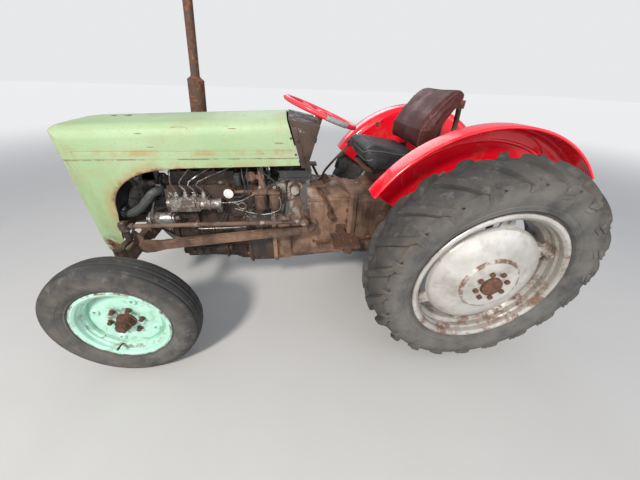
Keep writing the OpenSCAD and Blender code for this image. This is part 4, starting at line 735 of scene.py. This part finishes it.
# A pad of cloth: the node's shape, a little smaller, in a fine net that air pressure swells to its tight cover
def puffed(node, form):
    mesh = joinedMesh(node)
    low, high = span(node)
    size, centre = high - low, (low + high) / 2
    setPoints(mesh, (pointsOf(mesh) - centre) * (1 - 2 * form["inset"] * mm / size) + centre)
    obj = added(form["name"], mesh)

    def settle():
        graph = bpy.context.evaluated_depsgraph_get()
        return bpy.data.meshes.new_from_object(obj.evaluated_get(graph))

    net = obj.modifiers.new("net", "REMESH")
    net.mode = "VOXEL"
    net.voxel_size = form["net"] * mm
    obj.data = settle()
    obj.modifiers.clear()
    start = pointsOf(obj.data)
    points = start
    cloth = obj.modifiers.new("cloth", "CLOTH")
    cloth.settings.quality = 4
    cloth.settings.use_pressure = True
    cloth.settings.uniform_pressure_force = form["pressure"]
    cloth.settings.effector_weights.gravity = 0
    cloth.point_cache.frame_start, cloth.point_cache.frame_end = 1, 20
    for step in range(1, 21):
        bpy.context.scene.frame_set(step)
    move = pointsOf(settle()) - start
    obj.modifiers.clear()
    bpy.context.scene.frame_set(1)
    reach = np.linalg.norm(move, axis=1)[:, None]
    points = start + move * np.minimum(1, form["cap"] * mm / np.maximum(reach, 1e-9))
    setPoints(obj.data, points)
    # Seams draw the cover in beside them; where form asks for it the stitches pucker it
    normal = pointsOf(obj.data, True)
    tree = BVHTree.FromObject(obj, bpy.context.evaluated_depsgraph_get())
    welts = Shape()
    for seam in form["seams"]:
        route = curve(np.array(seam["route"], float), 10)
        route = np.array([tree.find_nearest(Vector(at(*p)))[0] for p in route])
        lengths = np.concatenate([[0], np.cumsum(np.linalg.norm(np.diff(route, axis=0), axis=1))])
        # Nearest point of the seam for each point of the cover: how far off it is, and how far along the seam
        reach = np.linalg.norm(points[:, None] - route, axis=2)
        away, along = reach.min(1), lengths[reach.argmin(1)]
        press = seam["press"] * np.exp(-(away / stitch["groove"]) ** 2)
        wave = np.clip(np.sin(along / stitch["pitch"] * 2 * math.pi), 0, 1) ** 2
        press += seam.get("pucker", 0) * wave * np.exp(-((away - stitch["beside"]) / stitch["soft"]) ** 2)
        points = points - normal * press[:, None] * mm
        lift = np.array([tree.find_nearest(Vector(p))[1] for p in route])
        smooth = (route - at(0, 0, 0) + lift * stitch["lift"]) / mm
        smooth[1:-1] = (smooth[:-2] + smooth[1:-1] * 2 + smooth[2:]) / 4
        welts.join(tube(smooth, stitch["welt"] / mm, 8))
    points = np.maximum(points, low + np.array([-1, -1, 0]) * form["cap"] * mm)
    setPoints(obj.data, points)
    obj.data.shade_smooth()
    obj.data.materials.clear()
    obj.data.materials.append(materials[slotOf[node]])
    finer = obj.modifiers.new("finer", "SUBSURF")
    finer.levels = finer.render_levels = 1
    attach(obj, "chassis")
    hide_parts(node)
    make(form["name"] + "Welt", welts, slotOf[node], "chassis", (), 60, form["welt"])


cushionHalf, backHalf = 216, 207
cushionTop = [(214, 1050), (330, 1066), (500, 1094), (536, 1086)]
cushionLoop = [(x, cushionHalf, z) for x, z in cushionTop] + [(552, 180, 1074), (556, 90, 1072), (557, 0, 1072),
                                                            (556, -90, 1072), (552, -180, 1074)]
cushionLoop += [(x, -cushionHalf, z) for x, z in cushionTop[::-1]]
backSide = [(254, 1092), (261, 1140), (258, 1184), (212, 1258), (148, 1332), (100, 1370), (76, 1380)]
puffed("seat_cushion", {"name": "seatCushion", "inset": 6, "net": 7, "pressure": 4, "cap": 9, "fill": 0.75,
                        "welt": extra["greyWelt"], "seams": [
    {"route": cushionLoop, "press": 2.5},
    {"route": [(p[0] - 6, p[1], p[2] - 52) for p in cushionLoop[2:-2]], "press": 1.5}]})
puffed("seat_back", {"name": "seatBack", "inset": 6, "net": 7, "pressure": 4, "cap": 10, "fill": 0.8,
                     "welt": extra["brownWelt"], "seams": [
    {"route": [(x, side * backHalf, z) for x, z in backSide], "press": 2.5, "pucker": 3.2} for _, side in sides]})
print("seat done")


# A piece that is fixed to the chassis and stands for no CAD node
def trim(name, shape, slot, angle=40, material=None):
    make(name, shape, slot, "chassis", (), angle, material)


# Bolt heads in rows: each row holds places, a direction, then the width, the height and whether a washer
def bolts(*rows):
    shape = Shape()
    for places, axis, *size in rows:
        for place in places:
            shape.join(bolt(place, axis, *size))
    return shape


# Round bars along smooth lines, each with its radius
def tubes(*rows):
    shape = Shape()
    for route, radius in rows:
        shape.join(tube(curve(route, 8), radius, 8))
    return shape


# A shape of the left side together with its mirror image
def paired(shape):
    return Shape().join(shape).join(shape.mirrored())


# A worm clamp: a band round a hose, its raised tail and the screw's housing
def wormClamp(place, axis, radius):
    shape = Shape()
    angle = circle(9)[:, None]
    band = np.array([(-6, 0), (-6, 1.6), (6, 1.6), (6, 0)])
    rings = np.stack([band[:, 0] + 0 * angle, (radius + band[:, 1]) * np.cos(angle),
                      (radius + band[:, 1]) * np.sin(angle)], -1)
    shape.join(grid(rings, around=True, along=True))
    shape.join(block((-7, -9, radius), (7, 9, radius + 9), 1.5))
    shape.join(rod((0, -16, radius + 5.5), (0, 14, radius + 5.5), 3.6, 8))
    turn = {"x": np.eye(3), "y": turned("z", 90), "z": turned("y", 90)}[axis]
    return Shape().join(shape, turn, place)


engineFront = wheelbase - 128
bores = [1180 + 125 * i for i in range(4)]
clamps = Shape()
for place, axis in (((engineFront + 27, 113, 846), "y"), ((wheelbase + 96, 168, 729), "x"),
                    ((engineFront - 16, -40, 964), "z"), ((wheelbase + 96, -40, 1079), "x")):
    clamps.join(wormClamp(place, axis, 24.6))
trim("hoseClamps", clamps, "engine_steel", 40, extra["brightMetal"])

# Fan belt: the outline round three pulleys, from the points of their circles that no other point lies outside
beltForm = {"x": engineFront + 54, "circles": ((0, 560, 69), (0, 846, 54), (205, 712, 37)), "width": 6.5}
facing = np.stack([np.cos(circle(6)), np.sin(circle(6))], -1)
spots = np.concatenate([(y, z) + r * facing for y, z, r in beltForm["circles"]])
order = []
for k in np.argmax(spots @ facing.T, 0):
    if not order or order[-1] != k:
        order.append(k)
line = spots[order]
belt = np.column_stack([np.full(len(line), beltForm["x"]), line])
trim("fanBelt", tube(belt, beltForm["width"], 6, (1, 0, 0), True), "black_parts", 60)

# Bolt heads by what they hold
up, down, ahead, behind, left, right = (0, 0, 1), (0, 0, -1), (1, 0, 0), (-1, 0, 0), (0, 1, 0), (0, -1, 0)
cast = paired(bolts(
    ([(x, 130, 459) for x in range(1100, 1600, 62)], down, 13, 7),
    ([(1217, y, z) for y, z in ((184, 600), (182, 520), (176, 690), (172, 430))], ahead, 17),
    ([(1037, y, z) for y, z in ((187, 600), (184, 500), (172, 700), (178, 410))], behind, 17),
    ([(591, 157, z) for z in range(420, 800, 74)], ahead, 17),
    ([(640 + x, 150, 505 + z) for x in (-20, 24) for z in (-34, 34)], left, 13, 7),
    ([(x, 80, 849) for x in (662, 708, 756)], up, 15, 8)))
cast.join(bolts(
    ([(x, 156, z) for x in (1500, 1556, 1612) for z in (656, 736)], left, 15, 8),
    ([(x, y, 959) for x in range(1130, 1570, 130) for y in (-79, 67)], up, 13, 8),
    ([(x + 62, 98, 950) for x in bores[:3]] + [(1110, 98, 950)], up, 15, 10),
    ([(x, -151, z) for x in (1290, 1420, 1560) for z in (712, 828)], right, 13, 7)))
trim("castingBolts", cast, "rusty_steel", 30, extra["boltRust"])

# Unions of the pump, the injectors and the filters, and the pump's screws
pumpFront = engineFront - 44
outlets = [pumpFront - 181 + 48 * i for i in range(4)]
filters = (1030, 1110)
bright = bolts(
    ([(x, 174, 835) for x in outlets], up, 20, 9, False),
    ([(x, 174, 848) for x in outlets], up, 15, 7, False),
    ([(x, 90, 986) for x in bores], up, 15, 8, False),
    ([(x, 205, z) for x in (pumpFront - 126, pumpFront - 22) for z in (780, 806)], left, 9, 4, False),
    ([(pumpFront - 132 + 30 * k, 200, 826) for k in range(4)], up, 12, 5, False),
    ([(x, 194, 880) for x in filters], up, 16, 9))
for x in filters:
    bright.join(rod((x, 194, 868), (x, 222, 868), 7, 12))
trim("pumpFittings", bright, "engine_steel", 35, extra["brightMetal"])
# Low-pressure pipes between the filters and the pump
pipes = tubes(
    ([(1110, 222, 868), (1150, 226, 852), (1230, 218, 812), (1330, 205, 800)], 3.0),
    ([(1030, 222, 868), (1000, 224, 820), (1010, 220, 760), (1090, 214, 728), (1180, 206, 738),
      (1260, 196, 760)], 3.0))
trim("fuelPipes", pipes, "engine_steel", 60, extra["pipe"])

# Cables clipped along the engine: each lies against the filters, the pump or the block
loom = tubes(
    ([(1166, 200, 1000), (1168, 218, 950), (1166, 228, 903), (1161, 230, 815), (1142, 226, 752),
      (1081, 218, 712), (1028, 214, 750), (1006, 220, 850), (1030, 226, 930), (1074, 222, 969),
      (1110, 212, 985)], 3.6),
    ([(1110, 200, 1010), (1090, 232, 958), (1068, 240, 887), (1084, 234, 829), (1070, 200, 735)], 3.2),
    ([(1196, 196, 990), (1194, 206, 945), (1186, 214, 889), (1208, 216, 842), (1255, 208, 832),
      (1300, 190, 800), (1330, 165, 770)], 3.8),
    ([(1250, 160, 830), (1238, 206, 816), (1204, 212, 806), (1192, 208, 777), (1221, 206, 738),
      (1262, 190, 726), (1300, 165, 700)], 4.2),
    ([(930, 196, 1000), (960, 190, 900), (966, 178, 827), (978, 172, 749), (990, 168, 690)], 4.5),
    ([(1500, 152, 690), (1580, 176, 700), (1626, 205, 742), (1640, 214, 742)], 3.6),
    ([(1418, 196, 572), (1400, 190, 620), (1340, 168, 700), (1300, 160, 800)], 5.0))
trim("engineCables", loom, "black_parts", 60)

# White cap of the round filter bowl
cap = revolve([(20, 0), (20, 22), (19, 25), (22, 26), (24, 22), (25, 12), (25, 0)], 40)
trim("filterCap", Shape().join(cap, None, (1279, 193, 857)), "engine_steel", 35,
     dullPlastic("whiteCap", (0.62, 0.62, 0.58), (0.2, 0.17, 0.14), 0.4, 0.35))

# Rolled rim along the curved part of the side opening, as on the pressed sheet
a = np.radians(np.linspace(4, 88, 26))
rim = np.column_stack([opening["x"] + opening["long"] * np.cos(a), np.full(len(a), opening["y"]),
                       opening["z"] + opening["high"] * np.sin(a)])
for hand, side in sides:
    make(f"openingRim_{hand}", handed(tube(rim, 3.0, 10, (0, 1, 0.01)), side), "bonnet_green", "bonnet", (), 60)
rivets = paired(bolts(([(908, 234.5, 1072), (930, 234.5, 1150)], left, 11, 3, False)))
make("bonnetScrews", rivets, "bonnet_green", "bonnet", (), 40, extra["boltRust"])

# Fender's inner panel, whose face is at y: bolts through it, rubber grommets where a cable once went, and a
# pressed bead by its points (radius, angle from the top towards the front)
fenderForm = {"y": 400, "grommetY": 396, "grommets": ((305, 1134, 1.0), (268, 1152, 0.5), (405, 1044, 0.5)),
              "bead": [(478, 46), (556, 44.5), (604, 40), (630, 30), (640, 12), (643, -6), (640, -18), (626, -26),
                       (590, -31.5)]}
panel = bolts(([(x, fenderForm["y"] + 0.5, rearAt[2] + z) for x in (-42, 42) for z in (150, 290, 420)], left, 15, 7))
trim("fenderBolts", paired(panel), "rusty_steel", 35, extra["boltRust"])
grommets = Shape()
eye = revolve([(0, 0), (0, 13), (1.5, 15), (4, 15), (5.5, 13), (5, 9), (2.5, 7.5), (2.2, 0)], 28)
for x, z, size in fenderForm["grommets"]:
    grommets.join(eye, turned("z", 180) * (size, 1, size), (x, fenderForm["grommetY"], z))
trim("fenderGrommets", paired(grommets), "black_parts", 40, extra["boltRust"])
radius, a = np.array(fenderForm["bead"], float).T
a = np.radians(a)
line = np.column_stack([radius * np.sin(a), np.full(len(a), fenderForm["y"] + 0.8), rearAt[2] + radius * np.cos(a)])
trim("fenderBeads", paired(tube(curve(line, 6), 3.6, 10, (0, 1, 0.01))), "fender_red", 60)

# Small parts by the engine: a ring lever, a thin pipe, a dark can and a brake rod with its bracket
ring = circle(15)
loop = np.column_stack([1217 + 21 * np.cos(ring), 200 + 6 * np.sin(ring), 778 + 21 * np.sin(ring)])
small = Shape().join(tube(loop, 3.6, 10, (0, 1, 0), True)).join(rod((1236, 203, 786), (1290, 176, 800), 4.4, 10))
small.join(tube(curve([(1490, 140, 636), (1484, 190, 635), (1470, 200, 635), (1300, 200, 637), (1226, 198, 639),
                       (1214, 190, 640), (1208, 140, 642)], 5), 4.0, 10))
small.join(bolt((921, 176, 898), left, 24, 12))
trim("smallFittings", small, "engine_steel", 45, extra["pipe"])
can = revolve([(0, 0), (0, 17), (2, 20), (8, 21), (52, 21), (58, 19), (60, 12), (68, 11), (69, 0)], 36)
dark = Shape().join(can, turned("x", 90), (1226, 180, 896))
dark.join(block((1214, 100, 918), (1238, 166, 926), 1.5)).join(rod((1226, 180, 890), (1226, 180, 898), 6, 10))
trim("darkCan", dark, "black_parts")
rods = Shape().join(rod((806, 196, 520), (404, 204, 552), 5.0, 12)).join(rod((404, 190, 552), (404, 216, 552), 9, 12))
rods.join(rod((806, 184, 520), (806, 206, 520), 8, 12)).join(block((655, 150, 532), (680, 212, 546), 1.5))
trim("brakeRod", rods, "rusty_steel", 40, extra["boltRust"])

# An air cleaner's can behind the head: beads round it, a wire strap and a short pipe
shell = revolve([(0, 0), (0, 36), (4, 44), (30, 45), (34, 48), (40, 48), (44, 45), (88, 45), (92, 47.5), (98, 47.5),
                 (102, 44), (114, 36), (118, 22), (118, 0)], 48)
cleanerAndShadeSheet = Shape().join(shell, turned("x", 90), (1021, -30, 868))
ring = circle(10)
strap = np.column_stack([1021 + 46.5 * np.cos(ring), -30 + 46.5 * np.sin(ring), 0 * ring + 932])
cleanerAndShadeSheet.join(tube(strap, 2.4, 8, (0, 0, 1), True)).join(rod((1050, -30, 962), (1090, -30, 962), 17, 20))
# A dark sheet beside the radiator on the right, folded back to its side: painted shade that closes the view through
# the bonnet to the floor beyond
cleanerAndShadeSheet.join(block((1820, -229, 640), (1823, -150, 990), 0.8)).join(block((1820, -209, 640), (1890, -205, 990), 0.8))
trim("airCleanerAndShadeSheet", cleanerAndShadeSheet, "black_parts")

# Tyre valves
stem = tube(curve([(0, 20, 190), (0, 34, 176), (0, 52, 168), (0, 66, 164)], 4), 4.2, 10)
stem = Shape().join(stem.join(rod((0, 62, 165), (0, 78, 160), 5.6, 12)), turned("y", 156))
for hand, side in sides:
    make(f"frontValve_{hand}", onWheel(stem, frontAt, side), "black_parts", f"front_wheel_{hand}", (), 40)

# Grey tape round the steering wheel's rim
tapeForm = {"hub": (760, 0, 1245), "radius": 203, "thick": 14.2, "tilt": -20.7, "from": 92, "to": 127}
a = np.radians(np.linspace(tapeForm["from"], tapeForm["to"], 22))
wrap = np.column_stack([tapeForm["radius"] * np.cos(a), tapeForm["radius"] * np.sin(a), 0 * a])
thick = tapeForm["thick"] + 0.5 * np.sin(np.arange(22) * 2.3)
make("rimTape", Shape().join(tube(wrap, thick, 16, (0, 0, 1)), turned("y", tapeForm["tilt"]), tapeForm["hub"]),
     "black_parts", "steering_wheel", (), 60, extra["tape"])
print("trim done")

# Floor, light and camera
bpy.ops.mesh.primitive_plane_add(size=80, location=(0, 0, 0))
floor = bpy.context.object
floor.name = "floor"
stageLook = {"near": (0.46, 0.45, 0.435), "far": (0.80, 0.81, 0.82), "fade": (3.5, 11.0)}
# The floor turns into the backdrop's plain tone with distance, for the camera and for reflections
f = Finish("paleFloor")
seen = f.node("LightPath").outputs
fade = f.times(f.step(f.vector("LENGTH", f.place, output="Value"), *stageLook["fade"]),
               f.either(seen["Is Camera Ray"], seen["Is Glossy Ray"]))
near = f.mix(f.noise(3, 4, 0.6), *(tuple(c * tone for c in stageLook["near"]) for tone in (0.96, 1.04)))
f.colour = f.mix(fade, near, (0.0, 0.0, 0.0))
f.close(0.9)
f.feed(stageLook["far"], f.shader.inputs["Emission Color"])
f.feed(fade, f.shader.inputs["Emission Strength"])
floor.data.materials.append(f.material)

light = {"sky": (0.80, 0.87, 1.0), "skyStrength": 0.60,
         "lamps": (("key", (2.6, 4.2, 4.6), (0, 0, 0.6), 400, 0.8, (1.0, 0.96, 0.90)),
                   ("rearFill", (-4.0, 3.6, 3.0), (0, 0, 0.6), 70, 4.0, (0.92, 0.95, 1.0)),
                   ("sideFill", (-0.6, 5.6, 1.7), (0, 0, 0.8), 75, 3.0, (1.0, 0.97, 0.93)),
                   ("farFill", (0.0, -5.0, 4.0), (0, 0, 0.6), 110, 4.0, (1, 1, 1)))}
world = bpy.data.worlds.new("studio")
world.use_nodes = True
nodes, links = world.node_tree.nodes, world.node_tree.links
sky, plain, choice, path = (nodes["Background"], nodes.new("ShaderNodeBackground"), nodes.new("ShaderNodeMixShader"),
                            nodes.new("ShaderNodeLightPath"))
sky.inputs[0].default_value = (*light["sky"], 1)
sky.inputs[1].default_value = light["skyStrength"]
plain.inputs[0].default_value = (*stageLook["far"], 1)
for output, socket in zip((path.outputs["Is Camera Ray"], sky.outputs[0], plain.outputs[0]), choice.inputs):
    links.new(output, socket)
links.new(choice.outputs[0], nodes["World Output"].inputs[0])
bpy.context.scene.world = world
for name, place, target, power, size, colour in light["lamps"]:
    lamp = bpy.data.lights.new(name, "AREA")
    lamp.energy, lamp.size, lamp.color = power, size, colour
    obj = added(name, lamp)
    obj.location = place
    obj.rotation_mode = "QUATERNION"
    obj.rotation_quaternion = (Vector(target) - Vector(place)).to_track_quat("-Z", "Y")

# Camera of the photograph: place in millimetres from the rear axle, angles in degrees, focal length in pixels
view = {"place": (930, 1571, 1406), "yaw": -6.86, "pitch": 32.39, "roll": -1.92, "focal": 255.4, "wide": 640}
yaw, pitch, roll = (math.radians(view[k]) for k in ("yaw", "pitch", "roll"))
ahead = np.array([math.sin(yaw) * math.cos(pitch), -math.cos(yaw) * math.cos(pitch), -math.sin(pitch)])
right = np.cross(ahead, (0, 0, 1))
right /= np.linalg.norm(right)
down = np.cross(ahead, right)
right, down = math.cos(roll) * right + math.sin(roll) * down, -math.sin(roll) * right + math.cos(roll) * down
cameraData = bpy.data.cameras.new("camera")
cameraData.sensor_width = 36
cameraData.lens = view["focal"] / view["wide"] * cameraData.sensor_width
camera = added("camera", cameraData)
pose = np.eye(4)
pose[:3, :3] = np.column_stack([right, -down, -ahead])
pose[:3, 3] = at(*view["place"])
camera.matrix_world = Matrix(pose.tolist())
bpy.context.scene.camera = camera
bpy.context.scene.view_settings.view_transform = "Standard"
print("camera done")
